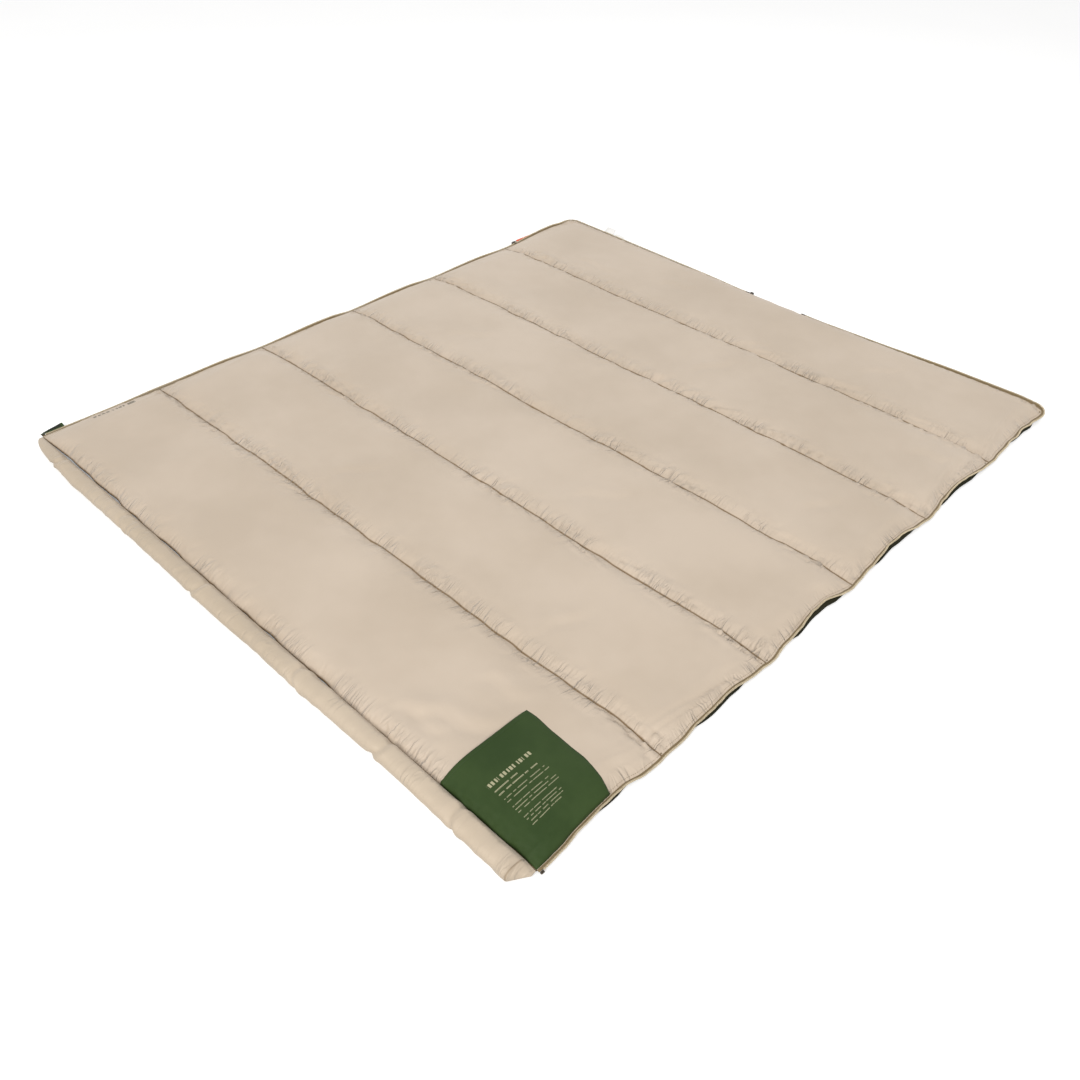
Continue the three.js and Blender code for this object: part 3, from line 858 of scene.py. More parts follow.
def rollPoints(inset=0.0, creased=1.0):
    # rows of points around the roll, from its left end to its right end
    look = headRoll
    end = clothX - inset
    x = np.linspace(-end, end, look["along"])
    x = np.sort(np.concatenate([x, [end - look["rightFold"] - 0.001, end - look["rightFold"] + 0.001]]))
    a = np.linspace(0, 2 * math.pi, look["around"], endpoint=False)
    x, a = np.meshgrid(x, a, indexing="ij")
    wobble = 1 + 0.035 * softNoise(x, 0.05 * np.cos(a), 0.16, 31)
    wobble = wobble + 0.03 * softNoise(x, 0.05 * np.sin(a), 0.06, 32)
    slant = x + 0.35 * a * 0.03
    folds = softNoise(slant, 0.02 * np.cos(a), 0.021, 33)
    folds = signedPower(folds, 1.5)
    nearSeam = smooth(np.cos(a), 0.1, 0.9)
    patches = smooth(softNoise(x, 0 * x, 0.14, 34), -0.3, 0.5)
    crease = look["gatherDepth"] * folds * (0.25 + 0.75 * patches) * (0.35 + 0.65 * nearSeam)
    for place, lean in look["creases"]:
        offset = x - place - lean * 0.02 * np.sin(a)
        crease -= look["creaseDepth"] * np.exp(-(offset / 0.008) ** 2)
        crease += 0.0022 * np.exp(-((offset - 0.018) / 0.01) ** 2)
    crease *= creased
    outer = smooth(-np.cos(a), 0.0, 0.9)
    swell = (0.0050 * softNoise(x, 0 * x, 0.21, 37) + 0.0014 * softNoise(x, 0 * x, 0.08, 38)) * outer
    slim = 0.95 - look["slimmer"] * (1 - smooth(x, -0.95, 0.2))
    halfWidth = look["halfWidth"] * wobble * slim + crease + swell - inset
    halfHeight = look["halfHeight"] * wobble * slim + crease - inset
    across = signedPower(np.cos(a), look["squareness"])
    upward = signedPower(np.sin(a), look["squareness"])
    toLeft = np.clip((x + end) / look["leftTaper"], 0, 1)
    toRight = np.clip((end - x) / look["rightFold"], 0, 1)
    leftScale = 0.2 + 0.8 * (1 - (1 - toLeft) ** 2) ** 0.7
    rightScale = 0.1 + 0.9 * toRight
    scale = leftScale * rightScale
    middleY = rollSeamY - look["halfWidth"] * slim * leftScale + 0.020 * (1 - rightScale)
    middleZ = look["middleZ"] * slim - 0.010 * (1 - rightScale) - 0.009 * (1 - leftScale)
    pinch = smooth(across, 0.5, 1.0)
    y = middleY + across * halfWidth * scale
    seamSide = rollSeamY - 0.0004 - inset
    y = np.minimum(y, seamSide) * (1 - pinch ** 2) + seamSide * pinch ** 2
    z = middleZ + upward * halfHeight * scale
    z = z * (1 - pinch) + (look["seamZ"] + (z - look["seamZ"]) * 0.35) * pinch
    z = np.maximum(z, 0.0007 + inset * 0.6 + 0.0004 * (1 - np.abs(across)))
    x = x + 0.003 * softNoise(3 * z, y, 0.03, 35) * (1 - toLeft)
    y = y + 0.0035 * softNoise(x, 0 * x, 0.4, 36) * (1 - pinch)
    return np.stack([x, np.maximum(y, rollLow.y - 0.006), z], -1), a, x


def closedTube(name, points):
    # a tube of rings closed by a fan at each end
    rings, around = points.shape[:2]
    index = np.arange(rings * around).reshape(rings, around)
    wrapped = np.concatenate([index, index[:, :1]], 1)
    vertices = points.reshape(-1, 3).tolist()
    faces = gridQuads(wrapped, True).tolist()
    for ring, flip in ((0, True), (rings - 1, False)):
        centre = len(vertices)
        vertices.append(points[ring].mean(0).tolist())
        for a, b in zip(wrapped[ring, :-1], wrapped[ring, 1:]):
            faces.append([int(b), int(a), centre] if flip else [int(a), int(b), centre])
    return solidFrom(name, vertices, faces)


def solidFrom(name, vertices, faces):
    mesh = bpy.data.meshes.new(name)
    mesh.from_pydata(vertices, [], faces)
    shape = bmesh.new()
    shape.from_mesh(mesh)
    bmesh.ops.recalc_face_normals(shape, faces=shape.faces)
    shape.to_mesh(mesh)
    shape.free()
    mesh.shade_smooth()
    return linkPiece(name, mesh)


def makeHeadRoll():
    points, around, along = rollPoints()
    cover = dress(closedTube("head_roll_cover", points), "rollCloth")
    # the roll's seam distance paints a dark line with painted shadow along its sewn side and in the fold of
    # its right end, with painted shade beside them
    toFold = np.abs(along - (clothX - headRoll["rightFold"])) + 0.0015
    toSeam = np.minimum((1 - smooth(np.cos(around), 0.93, 0.999)) * 0.026, toFold)
    toSeam = np.append(toSeam, [0.026, 0.026])
    pointValue(cover, "seam", toSeam)
    pointValue(cover, "edge", np.full(len(toSeam), 0.05))
    attachFolding(cover, "lining_cloth", "head_roll_cover_left", "head_roll_cover_right")
    points = rollPoints(headRoll["wall"], 0.0)[0]
    fill = dress(closedTube("head_roll_fill", points[::3, ::2]), "batting")
    attachFolding(fill, "batting", "head_roll_fill_left", "head_roll_fill_right")


makeHeadRoll()
print("head roll made")


# zip: tapes, coils and topstitching follow the edge of the cloth
zipLook = {
    "tapeIn": 0.006,
    "tapeOut": 0.0078,
    "tapeHalf": 0.00055,
    "tucked": 0.26,  # share of the tape that the right edge hides
    "bared": 0.7,  # how much wider the tape shows at the first seam of the left edge
    "footCurl": 0.85,  # how far the zip turns up at the right-hand foot corner, in radians
    "coilOut": 0.0090,
    "step": 0.006,
    "endX": 0.112,
    "stitchIn": 0.0045,
}
stitchLift = (0, 0, 0.0001)  # stitches lie just on the cloth
stitchLook = {"Spacing": 0.0052, "Length": 0.0038, "Width": 0.0011, "Height": 0.0009}
coilSizes = {"Spacing": 0.0022, "Width": 0.0038, "Height": 0.0032, "Wire": 0.00078}
zipStitch = dict(stitchLook, Width=stitchLook["Width"] * 0.8)


def edgeLine(side, lastX):
    # flat places along the cut edge of one half, with the way out of the cloth at each
    sign = 1 if side == "right" else -1
    radius = quilt["cornerRadius"]
    step = zipLook["step"]
    corner = np.tan(np.linspace(0, math.pi / 4, 9))[1:] * radius
    up = np.arange(headY + 0.002, footY - radius, step)
    back = np.arange(clothX - radius, lastX, -step)
    x = np.concatenate([np.full(len(up) + len(corner), clothX), (clothX - radius + corner)[-2::-1], back])
    y = np.concatenate([up, footY - radius + corner, np.full(len(corner) - 1 + len(back), footY)])
    overX = np.maximum(x - (clothX - radius), 0)
    overY = np.maximum(y - (footY - radius), 0)
    overX = np.where((overX == 0) & (overY == 0), 1, overX)
    onFoot = (y >= footY - 1e-9) & (x <= clothX - radius + 1e-9)
    overX = np.where(onFoot, 0, overX)
    overY = np.where(onFoot, 1, overY)
    length = np.hypot(overX, overY)
    return sign * x, y, np.stack([sign * overX / length, overY / length], -1)


def edgePlaces(line, out, high=0.0):
    x, y, away = line
    places = clothSurface(x, y, False)
    lift = bothEdges(x, y)[1]
    atFoot = smooth(y, footY - 0.03, footY - 0.005) * (out > 0)
    bared = zipLook["bared"] * (x < 0) * np.exp(-((y - seamYs[1]) / 0.09) ** 2) * (out > 0)
    tucked = zipLook["tucked"] * (x > 0) * (1 - smooth(y, footY - 0.25, footY - 0.05)) * (out > 0)
    out = out * (1 - tucked + bared)
    curl = quilt["curl"] * np.clip(lift / 0.010, 0, 1) * (0.75 + 0.4 * softNoise(x, y, 0.2, 71)) * (out > 0)
    curl = curl + zipLook["footCurl"] * atFoot * smooth(x, 0.42, 0.72)
    places[:, 2] += high * np.cos(curl) + out * np.sin(curl) - quilt["gap"]
    places[:, :2] += away * (out * np.cos(curl) - high * np.sin(curl))[:, None]
    return places


def runLengths(places):
    steps = np.linalg.norm(np.diff(places, axis=0), axis=1)
    return np.concatenate([[0], np.cumsum(steps)])


def makeTape(side):
    line = edgeLine(side, zipLook["endX"])
    half = zipLook["tapeHalf"]
    inside, outside = -zipLook["tapeIn"], zipLook["tapeOut"]
    profile = [(inside, half), (0.0, half), (0.0035, half + 0.0001), (0.006, half), (outside - 0.001, half),
               (outside, 0), (outside - 0.001, -half), (0.0035, -half), (inside, -half)]
    sag = 0.0007
    rings = np.stack([edgePlaces(line, out, high - sag * max(out, 0) / outside) for out, high in profile], 1)
    tape = closedTube(f"zipTape_{side}", rings)
    along = np.append(np.repeat(runLengths(edgePlaces(line, 0)), len(profile)), [0, 0])
    across = np.append(np.tile([out for out, high in profile], len(rings)), [0, 0])
    cutMap(tape, across, along)
    return tape


unevenness = {"Min": 0.9, "Max": 1.08}  # smallest and largest scale of a stitch or a turn


def newPathTree(name, sizes, makeShape):
    # repeats a small shape at even steps along a path, each turn of a slightly different size
    tree = bpy.data.node_groups.new(name, "GeometryNodeTree")
    tree.interface.new_socket("Path", in_out="INPUT", socket_type="NodeSocketGeometry")
    for title, value in sizes.items():
        tree.interface.new_socket(title, in_out="INPUT", socket_type="NodeSocketFloat").default_value = value
    tree.interface.new_socket("Finish", in_out="INPUT", socket_type="NodeSocketMaterial")
    tree.interface.new_socket("Shape", in_out="OUTPUT", socket_type="NodeSocketGeometry")
    links, add = tree.links, tree.nodes.new
    given, result = add("NodeGroupInput"), add("NodeGroupOutput")
    curve, steps = add("GeometryNodeMeshToCurve"), add("GeometryNodeResampleCurve")
    steps.mode = "LENGTH"
    links.new(given.outputs["Path"], curve.inputs[0])
    links.new(curve.outputs[0], steps.inputs["Curve"])
    links.new(given.outputs["Spacing"], steps.inputs["Length"])
    heading = add("GeometryNodeInputTangent")
    turned = add("FunctionNodeAlignRotationToVector")
    level = add("FunctionNodeAlignRotationToVector")
    turned.axis = "X"
    links.new(heading.outputs[0], turned.inputs["Vector"])
    level.axis, level.pivot_axis = "Z", "X"
    links.new(turned.outputs[0], level.inputs["Rotation"])
    level.inputs["Vector"].default_value = (0, 0, 1)
    scatter = add("GeometryNodeInstanceOnPoints")
    links.new(steps.outputs[0], scatter.inputs["Points"])
    links.new(makeShape(tree, given), scatter.inputs["Instance"])
    links.new(level.outputs[0], scatter.inputs["Rotation"])
    uneven = add("FunctionNodeRandomValue")
    uneven.data_type = "FLOAT"
    for socket in uneven.inputs:
        if socket.type == "VALUE" and socket.enabled and socket.name in unevenness:
            socket.default_value = unevenness[socket.name]
        if socket.name == "Seed":
            socket.default_value = 7
    links.new(uneven.outputs[1], scatter.inputs["Scale"])
    real = add("GeometryNodeRealizeInstances")
    soft = add("GeometryNodeSetShadeSmooth")
    finish = add("GeometryNodeSetMaterial")
    links.new(scatter.outputs[0], real.inputs[0])
    links.new(real.outputs[0], soft.inputs[0])
    links.new(soft.outputs[0], finish.inputs["Geometry"])
    links.new(given.outputs["Finish"], finish.inputs["Material"])
    links.new(finish.outputs[0], result.inputs["Shape"])
    return tree


def sizeVector(tree, given, x, y, z):
    # half sizes, from the tree's own inputs
    parts = tree.nodes.new("ShaderNodeCombineXYZ")
    for socket, title in zip(parts.inputs, (x, y, z)):
        if title is None:
            socket.default_value = 1.0
            continue
        half = tree.nodes.new("ShaderNodeMath")
        half.operation = "MULTIPLY"
        half.inputs[1].default_value = 0.5
        tree.links.new(given.outputs[title], half.inputs[0])
        tree.links.new(half.outputs[0], socket)
    return parts.outputs[0]


def stitchShape(tree, given):
    ball, shape = tree.nodes.new("GeometryNodeMeshUVSphere"), tree.nodes.new("GeometryNodeTransform")
    ball.inputs["Segments"].default_value = 6
    ball.inputs["Rings"].default_value = 5
    ball.inputs["Radius"].default_value = 1.0
    tip = tree.nodes.new("GeometryNodeTransform")
    tip.inputs["Rotation"].default_value = (0, math.pi / 2, 0)
    tree.links.new(ball.outputs[0], tip.inputs["Geometry"])
    tree.links.new(tip.outputs[0], shape.inputs["Geometry"])
    tree.links.new(sizeVector(tree, given, "Length", "Width", "Height"), shape.inputs["Scale"])
    return shape.outputs[0]


def turnShape(tree, given):
    add, links = tree.nodes.new, tree.links
    ring = add("GeometryNodeCurvePrimitiveCircle")
    shape = add("GeometryNodeTransform")
    wire = add("GeometryNodeCurvePrimitiveCircle")
    ring.inputs["Resolution"].default_value = 9
    ring.inputs["Radius"].default_value = 1.0
    wire.inputs["Resolution"].default_value = 4
    stand = add("GeometryNodeTransform")
    stand.inputs["Rotation"].default_value = (0, math.pi / 2, 0)
    links.new(ring.outputs[0], stand.inputs["Geometry"])
    links.new(stand.outputs[0], shape.inputs["Geometry"])
    links.new(sizeVector(tree, given, None, "Width", "Height"), shape.inputs["Scale"])
    links.new(given.outputs["Wire"], wire.inputs["Radius"])
    tube = add("GeometryNodeCurveToMesh")
    links.new(shape.outputs[0], tube.inputs["Curve"])
    links.new(wire.outputs[0], tube.inputs["Profile Curve"])
    return tube.outputs[0]


stitchTree = newPathTree("stitchRun", stitchLook, stitchShape)
coilTree = newPathTree("coilRun", coilSizes, turnShape)


def runAlong(name, paths, tree, sizes, material):
    mesh = bpy.data.meshes.new(name)
    edges, start = [], 0
    for path in paths:
        edges += [(start + i, start + i + 1) for i in range(len(path) - 1)]
        start += len(path)
    mesh.from_pydata(np.concatenate(paths).tolist(), edges, [])
    source = linkPiece(name + "Path", mesh)
    modifier = source.modifiers.new("run", "NODES")
    modifier.node_group = tree
    for socket in tree.interface.items_tree:
        if socket.in_out == "INPUT" and socket.name in sizes:
            modifier[socket.identifier] = sizes[socket.name]
        if socket.in_out == "INPUT" and socket.name == "Finish":
            modifier[socket.identifier] = materials[material]
    return plainCopy(source, name)


def makeZipSide(side):
    half = f"{side}_half"
    tape = dress(makeTape(side), "zipTape")
    line = edgeLine(side, zipLook["endX"] + 0.018)
    keep = line[1] > coilLow.y + 0.001
    path = edgePlaces([values[keep] for values in line], zipLook["coilOut"])
    coil = runAlong(f"zipCoil_{side}", [path], coilTree, coilSizes, "zipCoil")
    for piece, slotName in ((tape, "zip_tape"), (coil, "zip_coil")):
        attach(piece, slotName, half, f"{slotName}_{side}")
    # topstitching that holds the tape, on the lining
    x, y, away = edgeLine(side, zipLook["endX"])
    flatX, flatY = x - away[:, 0] * zipLook["stitchIn"], y - away[:, 1] * zipLook["stitchIn"]
    path = lining.at(flatX, flatY) + (0, 0, 0.0002)  # the tape's stitches stand a little higher
    stitches = runAlong(f"zip_topstitch_{side}", [path], stitchTree, zipStitch, "thread")
    attach(stitches, "thread", half)


def makeQuilting():
    for number in range(1, 6):
        x = np.linspace(-clothX + 0.008, clothX - 0.008, 260)
        path = lining.at(x, np.full(len(x), seamYs[number])) + stitchLift
        stitches = runAlong(f"quilt_stitch_{number}", [path], stitchTree, stitchLook, "thread")
        attachFolding(stitches, "thread", f"quilt_stitch_left_{number}", f"quilt_stitch_right_{number}")


for side in ("right", "left"):
    makeZipSide(side)
makeQuilting()
print("zip and stitching made")


# small hard parts of the zip
def plate(name, outline, low, high, bevel=0.0004, segments=2):
    # a flat-sided solid cut to an outline, with eased edges
    count = len(outline)
    vertices = [(x, y, low) for x, y in outline] + [(x, y, high) for x, y in outline]
    faces = [list(range(count))[::-1], list(range(count, 2 * count))]
    faces += [[i, (i + 1) % count, count + (i + 1) % count, count + i] for i in range(count)]
    piece = solidFrom(name, vertices, faces)
    easing = piece.modifiers.new("easing", "BEVEL")
    easing.width = bevel
    easing.segments = segments
    easing.limit_method = "ANGLE"
    easing.angle_limit = math.radians(40)
    return plainCopy(piece, name)


def rounded(centreX, centreY, width, length, radius, steps=5):
    corners = []
    for signX, signY, start in ((1, 1, 0), (-1, 1, 90), (-1, -1, 180), (1, -1, 270)):
        for angle in np.radians(np.linspace(start, start + 90, steps)):
            corners.append((centreX + signX * (width / 2 - radius) + radius * math.cos(angle),
                            centreY + signY * (length / 2 - radius) + radius * math.sin(angle)))
    return corners


def boxOutline(low, high, radius, steps=5, inset=0.0):
    return rounded((low.x + high.x) / 2, (low.y + high.y) / 2, high.x - low.x - 2 * inset,
                   high.y - low.y - 2 * inset, radius, steps)


def joined(name, parts):
    shape = bmesh.new()
    for part in parts:
        shape.from_mesh(part.data)
        bpy.data.objects.remove(part)
    mesh = bpy.data.meshes.new(name)
    shape.to_mesh(mesh)
    shape.free()
    return linkPiece(name, mesh)


def bentTube(name, points, radius, sides=8, flatten=1.0, closed=False):
    # a round wire swept along points, without twist
    points = np.asarray(points, float)
    ahead = np.roll(points, -1, 0) - np.roll(points, 1, 0)
    if not closed:
        ahead[0], ahead[-1] = points[1] - points[0], points[-1] - points[-2]
    ahead /= np.linalg.norm(ahead, axis=1, keepdims=True)
    side = np.zeros_like(ahead)
    side[0] = np.cross(ahead[0], (0.3, 0.5, 0.81))
    for i in range(len(points)):
        guess = side[i - 1] if i else side[0]
        guess = guess - ahead[i] * guess.dot(ahead[i])
        side[i] = guess / np.linalg.norm(guess)
    other = np.cross(ahead, side)
    turns = np.linspace(0, 2 * math.pi, sides, endpoint=False)
    rings = [points + radius * (math.cos(t) * side + math.sin(t) * other * flatten) for t in turns]
    rings = np.stack(rings, 1)
    if closed:
        index = np.arange(rings.shape[0] * sides).reshape(-1, sides)
        index = np.concatenate([index, index[:1]], 0)
        index = np.concatenate([index, index[:, :1]], 1)
        return solidFrom(name, rings.reshape(-1, 3).tolist(), gridQuads(index, True).tolist())
    return closedTube(name, rings)


sliderLook = {"plate": 0.0015, "wing": 0.0021, "bevel": 0.0005, "bridgeWire": 0.0009}
gripLook = {"ribs": 7, "ribDepth": 0.00035, "wire": 0.00075, "fuller": 1.25, "thicker": 1.7,
            "linkSquareness": 0.55}


def sliderOutline(low, high, front):
    # shield shape: wide at the mouth, drawn in at the tail
    middle = (low.x + high.x) / 2
    half = (high.x - low.x) / 2
    places = [(-1.0, 0.78), (-0.9, 0.93), (-0.6, 1.0), (0.6, 1.0), (0.9, 0.93), (1.0, 0.78),
              (0.98, 0.2), (0.78, -0.55), (0.66, -0.9), (0.5, -1.0), (-0.5, -1.0), (-0.66, -0.9),
              (-0.78, -0.55), (-0.98, 0.2)]
    centreY, halfY = (low.y + high.y) / 2, (high.y - low.y) / 2
    return [(middle + half * x, centreY + front * halfY * y) for x, y in places]


def makeSlider(letter, front):
    low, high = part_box(f"slider_{letter}_body")
    thick = sliderLook["plate"]
    outline = sliderOutline(low, high, front)
    top = plate("top", outline, high.z - thick, high.z, sliderLook["bevel"])
    bottom = plate("bottom", outline, low.z, low.z + thick, sliderLook["bevel"])
    middle, wing = (low.x + high.x) / 2, sliderLook["wing"]
    frontY = (low.y + high.y) / 2 + front * (high.y - low.y) * 0.3
    outline = rounded(middle, frontY, 0.0045, 0.0045, 0.0018)
    post = plate("post", outline, low.z + 0.0008, high.z - 0.0008, 0.0002)
    wings = []
    centreY, reach = (low.y + high.y) / 2, (high.y - low.y) * 0.42
    for x in (low.x + wing / 2 + 0.0004, high.x - wing / 2 - 0.0004):
        for bottomZ, topZ in ((high.z - 0.0028, high.z - 0.0006), (low.z + 0.0006, low.z + 0.0028)):
            outline = rounded(x, centreY, wing, reach * 1.7, 0.0008)
            wings.append(plate("wing", outline, bottomZ, topZ, 0.0003))
    body = dress(joined(f"slider_{letter}_body_detailed", [top, bottom, post] + wings), "zipMetal")
    attach(body, "zip_metal", f"slider_{letter}", f"slider_{letter}_body")
    low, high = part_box(f"slider_{letter}_bridge")
    angles = np.linspace(0, math.pi, 15)
    centreY, halfY = (low.y + high.y) / 2, (high.y - low.y) / 2 - sliderLook["bridgeWire"]
    middle, archHeight = (low.x + high.x) / 2, high.z - low.z - sliderLook["bridgeWire"]
    arch = [(middle, centreY + halfY * math.cos(t), low.z - 0.0004 + archHeight * math.sin(t) ** 0.6)
            for t in angles]
    bridge = bentTube(f"slider_{letter}_bridge_detailed", arch, sliderLook["bridgeWire"], 8, 1.4)
    dress(bridge, "zipMetal")
    attach(bridge, "zip_metal", f"slider_{letter}", f"slider_{letter}_bridge")


def makePuller(letter):
    low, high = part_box(f"puller_{letter}_link")
    middle, level = (low.x + high.x) / 2, (low.z + high.z) / 2
    wire = gripLook["wire"]
    halfX, halfY = (high.x - low.x) / 2 - wire, (high.y - low.y) / 2 - wire
    turns = np.linspace(0, 2 * math.pi, 28, endpoint=False)
    square = gripLook["linkSquareness"]
    loop = [(middle + halfX * signedPower(math.cos(t), square),
             (low.y + high.y) / 2 + halfY * signedPower(math.sin(t), square), level) for t in turns]
    link = dress(bentTube(f"puller_{letter}_link_detailed", loop, wire, 8, 1.0, True), "zipMetal")
    attach(link, "zip_metal", f"puller_{letter}", f"puller_{letter}_link")
    # a moulded grip with raised ribs, waisted a little
    low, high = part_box(f"puller_{letter}_grip")
    ys = np.linspace(low.y, high.y, 49)
    share = np.linspace(0, 1, 49)
    ribs = gripLook["ribDepth"] * np.sin(share * 2 * math.pi * gripLook["ribs"] / 0.6)
    ribs = np.where((share > 0.2) & (share < 0.8), ribs, 0)
    ends = np.sqrt(np.clip(1 - np.clip(np.abs(share - 0.5) * 2 - 0.88, 0, 0.12) ** 2 / 0.12 ** 2, 0.02, 1))
    width = ((high.x - low.x) / 2 - 0.0006 * np.sin(math.pi * share)) * (0.55 + 0.45 * ends)
    width = width * gripLook["fuller"] + ribs
    height = ((high.z - low.z) / 2) * ends * gripLook["thicker"] + ribs
    turns = np.linspace(0, 2 * math.pi, 24, endpoint=False)
    level = (low.z + high.z) / 2
    rings = []
    for i, y in enumerate(ys):
        rings.append([(middle + width[i] * signedPower(math.cos(t), 0.5), y,
                       level + height[i] * signedPower(math.sin(t), 0.6)) for t in turns])
    grip = dress(closedTube(f"puller_{letter}_grip_detailed", np.array(rings)), "grip")
    attach(grip, "puller_grip", f"puller_{letter}", f"puller_{letter}_grip")


def makeZipEnds():
    # retaining box, the two pins and the four top stops
    low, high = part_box("zip_box")
    case = plate("case", boxOutline(low, high, 0.0022), low.z, high.z, 0.0009, 3)
    ridges = [plate("ridge", rounded((low.x + high.x) / 2, low.y + 0.004 + 0.003 * i, 0.008, 0.0011, 0.0004),
                    high.z - 0.0002, high.z + 0.0005, 0.0002) for i in range(3)]
    box = dress(joined("zip_box_detailed", [case] + ridges), "zipPlastic")
    attach(box, "zip_plastic", "left_half", "zip_box")
    for node, body in (("zip_fixed_pin", "left_half"), ("zip_insert_pin", "right_half")):
        low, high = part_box(node)
        pin = plate(node + "_detailed", boxOutline(low, high, 0.0014), low.z, high.z, 0.0007, 3)
        attach(dress(pin, "zipPlastic"), "zip_plastic", body, node)
    for side in ("left", "right"):
        low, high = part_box(f"zip_top_stop_{side}")
        stop = plate(f"zip_top_stop_{side}_detailed", boxOutline(low, high, 0.0016), low.z, high.z, 0.001, 3)
        attach(dress(stop, "zipMetal"), "zip_metal", f"{side}_half", f"zip_top_stop_{side}")


makeSlider("a", -1)
makeSlider("b", 1)
makePuller("a")
makePuller("b")
makeZipEnds()
print("sliders and zip ends made")


# pocket: a bowed panel sewn over the lining at the right head corner
pocketLow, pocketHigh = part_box("pocket_panel")
pocketLook = {"columns": 74, "rows": 68, "raise": 0.0022, "bow": 0.0016, "edge": 0.0009, "mouthRise": 0.0016,
              "hem": 0.009, "near": 0.006, "drawnIn": 0.021, "stitchIn": 0.004}

pocketStitch = {"Spacing": 0.0044, "Length": 0.0032, "Width": 0.0009, "Height": 0.0007}


def pocketPlaces(x, y, extra=0.0):
    look = pocketLook
    toMouth = x - pocketLow.x
    toSewn = np.minimum(np.minimum(clothX - x, pocketHigh.y - farEdge(x) - y), y - pocketLow.y)
    smoothTop = clothSurface(x, y, False)
    draped = lining.at(x, y)
    body = smooth(toSewn, 0, 0.018)
    wave = 0.0007 * softNoise(x + 0.4 * y, y, 0.045, 51) * body
    bow = look["bow"] * np.sin(math.pi * np.clip(toSewn / 0.13, 0, 1) / 2)
    high = look["edge"] + (look["raise"] + bow) * body
    high = high + look["mouthRise"] * (1 - smooth(toMouth, 0, 0.03)) * smooth(toSewn, 0, 0.06) + wave
    # the doubled hem at the mouth is a little thicker, with a groove where it is sewn
    high = high + 0.0006 * (1 - smooth(toMouth, look["hem"], look["hem"] + 0.002)) * body
    highest = draped[..., 2].copy()
    for stepX, stepY in nearby:
        beside = lining.at(x + look["near"] * stepX, y + look["near"] * stepY)[..., 2]
        highest = np.maximum(highest, np.where(body > 0.05, beside, highest))
    top = np.maximum(smoothTop[..., 2] + high, highest + look["edge"] + 0.0006 * body)
    places = draped * (1 - body[..., None] * 0.5) + smoothTop * body[..., None] * 0.5
    places[..., 2] = top + extra
    return places


def farEdge(x):
    # the far edge draws in towards the zip
    return pocketLook["drawnIn"] * np.clip((x - pocketLow.x) / (pocketHigh.x - pocketLow.x), 0, 1) ** 2.2


def makePocket():
    look = pocketLook
    inside = 0.0006
    xs = np.linspace(pocketLow.x + inside, clothX - inside, look["columns"])
    ys = np.linspace(pocketLow.y + inside + 0.0005, pocketHigh.y - inside, look["rows"])
    gridX, gridY = np.meshgrid(xs, ys, indexing="ij")
    gridY = ys[0] + (gridY - ys[0]) * (1 - farEdge(gridX) / (ys[-1] - ys[0]))
    places = pocketPlaces(gridX, gridY)
    # turned edges
    rim = np.zeros(gridX.shape, bool)
    rim[0], rim[-1], rim[:, 0], rim[:, -1] = True, True, True, True
    places[..., 2] = np.where(rim, places[..., 2] - 0.0005, places[..., 2])
    panel = gridMesh("pocket", places)
    cutMap(panel, gridX, gridY)
    thickness = panel.modifiers.new("thickness", "SOLIDIFY")
    thickness.thickness = 0.0006
    thickness.offset = -1
    panel = plainCopy(panel, "pocket")
    attach(dress(panel, "pocketCloth"), "pocket_cloth", "right_half", "pocket_panel")
    alongMouth = np.linspace(ys[0] + 0.003, ys[-1] - 0.003, 60)
    mouth = pocketPlaces(np.full(60, xs[0] + look["hem"]), alongMouth, 0.0002)
    farX = np.linspace(xs[0] + 0.003, xs[-1] - 0.003, 60)
    far = pocketPlaces(farX, ys[-1] - look["stitchIn"] - farEdge(farX), 0.0002)
    stitches = runAlong("pocket_topstitch", [mouth, far], stitchTree, pocketStitch, "threadGreen")
    attach(stitches, "thread", "right_half")


makePocket()
print("pocket made")


# care labels: three satin leaves sewn into the foot edge
labelLook = {"count": 3, "thickness": 0.00035, "columns": 16, "rows": 18, "wave": 0.0012, "spread": 0.003}


def makeLabels():
    look = labelLook
    for number in range(1, look["count"] + 1):
        low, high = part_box(f"care_label_{number}")
        length = math.hypot(high.y - low.y, high.z - low.z)
        across = np.linspace(low.x + 0.0005, high.x - 0.0005, look["columns"])
        run = np.linspace(0, 1, look["rows"])
        gridX, share = np.meshgrid(across, run, indexing="ij")
        lean = math.atan2(high.z - low.z, high.y - low.y)
        bend = lean * (0.55 + 0.8 * share - 0.45 * share ** 2)
        step = length / (look["rows"] - 1)
        y = low.y + np.cumsum(np.cos(bend) * step, 1) - np.cos(bend[:, :1]) * step
        z = low.z + 0.0008 + np.cumsum(np.sin(bend) * step, 1) - np.sin(bend[:, :1]) * step
        wave = look["wave"] * np.sin((gridX - low.x) / (high.x - low.x) * math.pi)
        z = z + wave * share + 0.0006 * number * share
        bentX = gridX + look["spread"] * (share ** 2) * (number - 2)
        leaf = gridMesh(f"care_label_{number}_leaf", np.stack([bentX, y, z], -1))
        cutMap(leaf, gridX - low.x, share * length)
        thickness = leaf.modifiers.new("thickness", "SOLIDIFY")
        thickness.thickness = look["thickness"]
        leaf = dress(plainCopy(leaf, f"care_label_{number}_leaf"), "label")
        attach(leaf, "label_satin", "left_half", f"care_label_{number}")


makeLabels()


# tab with its hook patch, and the loop patch on the shell
tabLook = {"hookPitch": 0.0019, "droop": 0.0030, "shorten": 0.22, "raise": 0.0075,
           "stitchIn": 0.0022}

tabStitch = {"Spacing": 0.0040, "Length": 0.0029, "Width": 0.0008, "Height": 0.0005}
hookSizes = {"Spacing": tabLook["hookPitch"], "Width": 0.0007, "Height": 0.0011, "Wire": 0.00016}


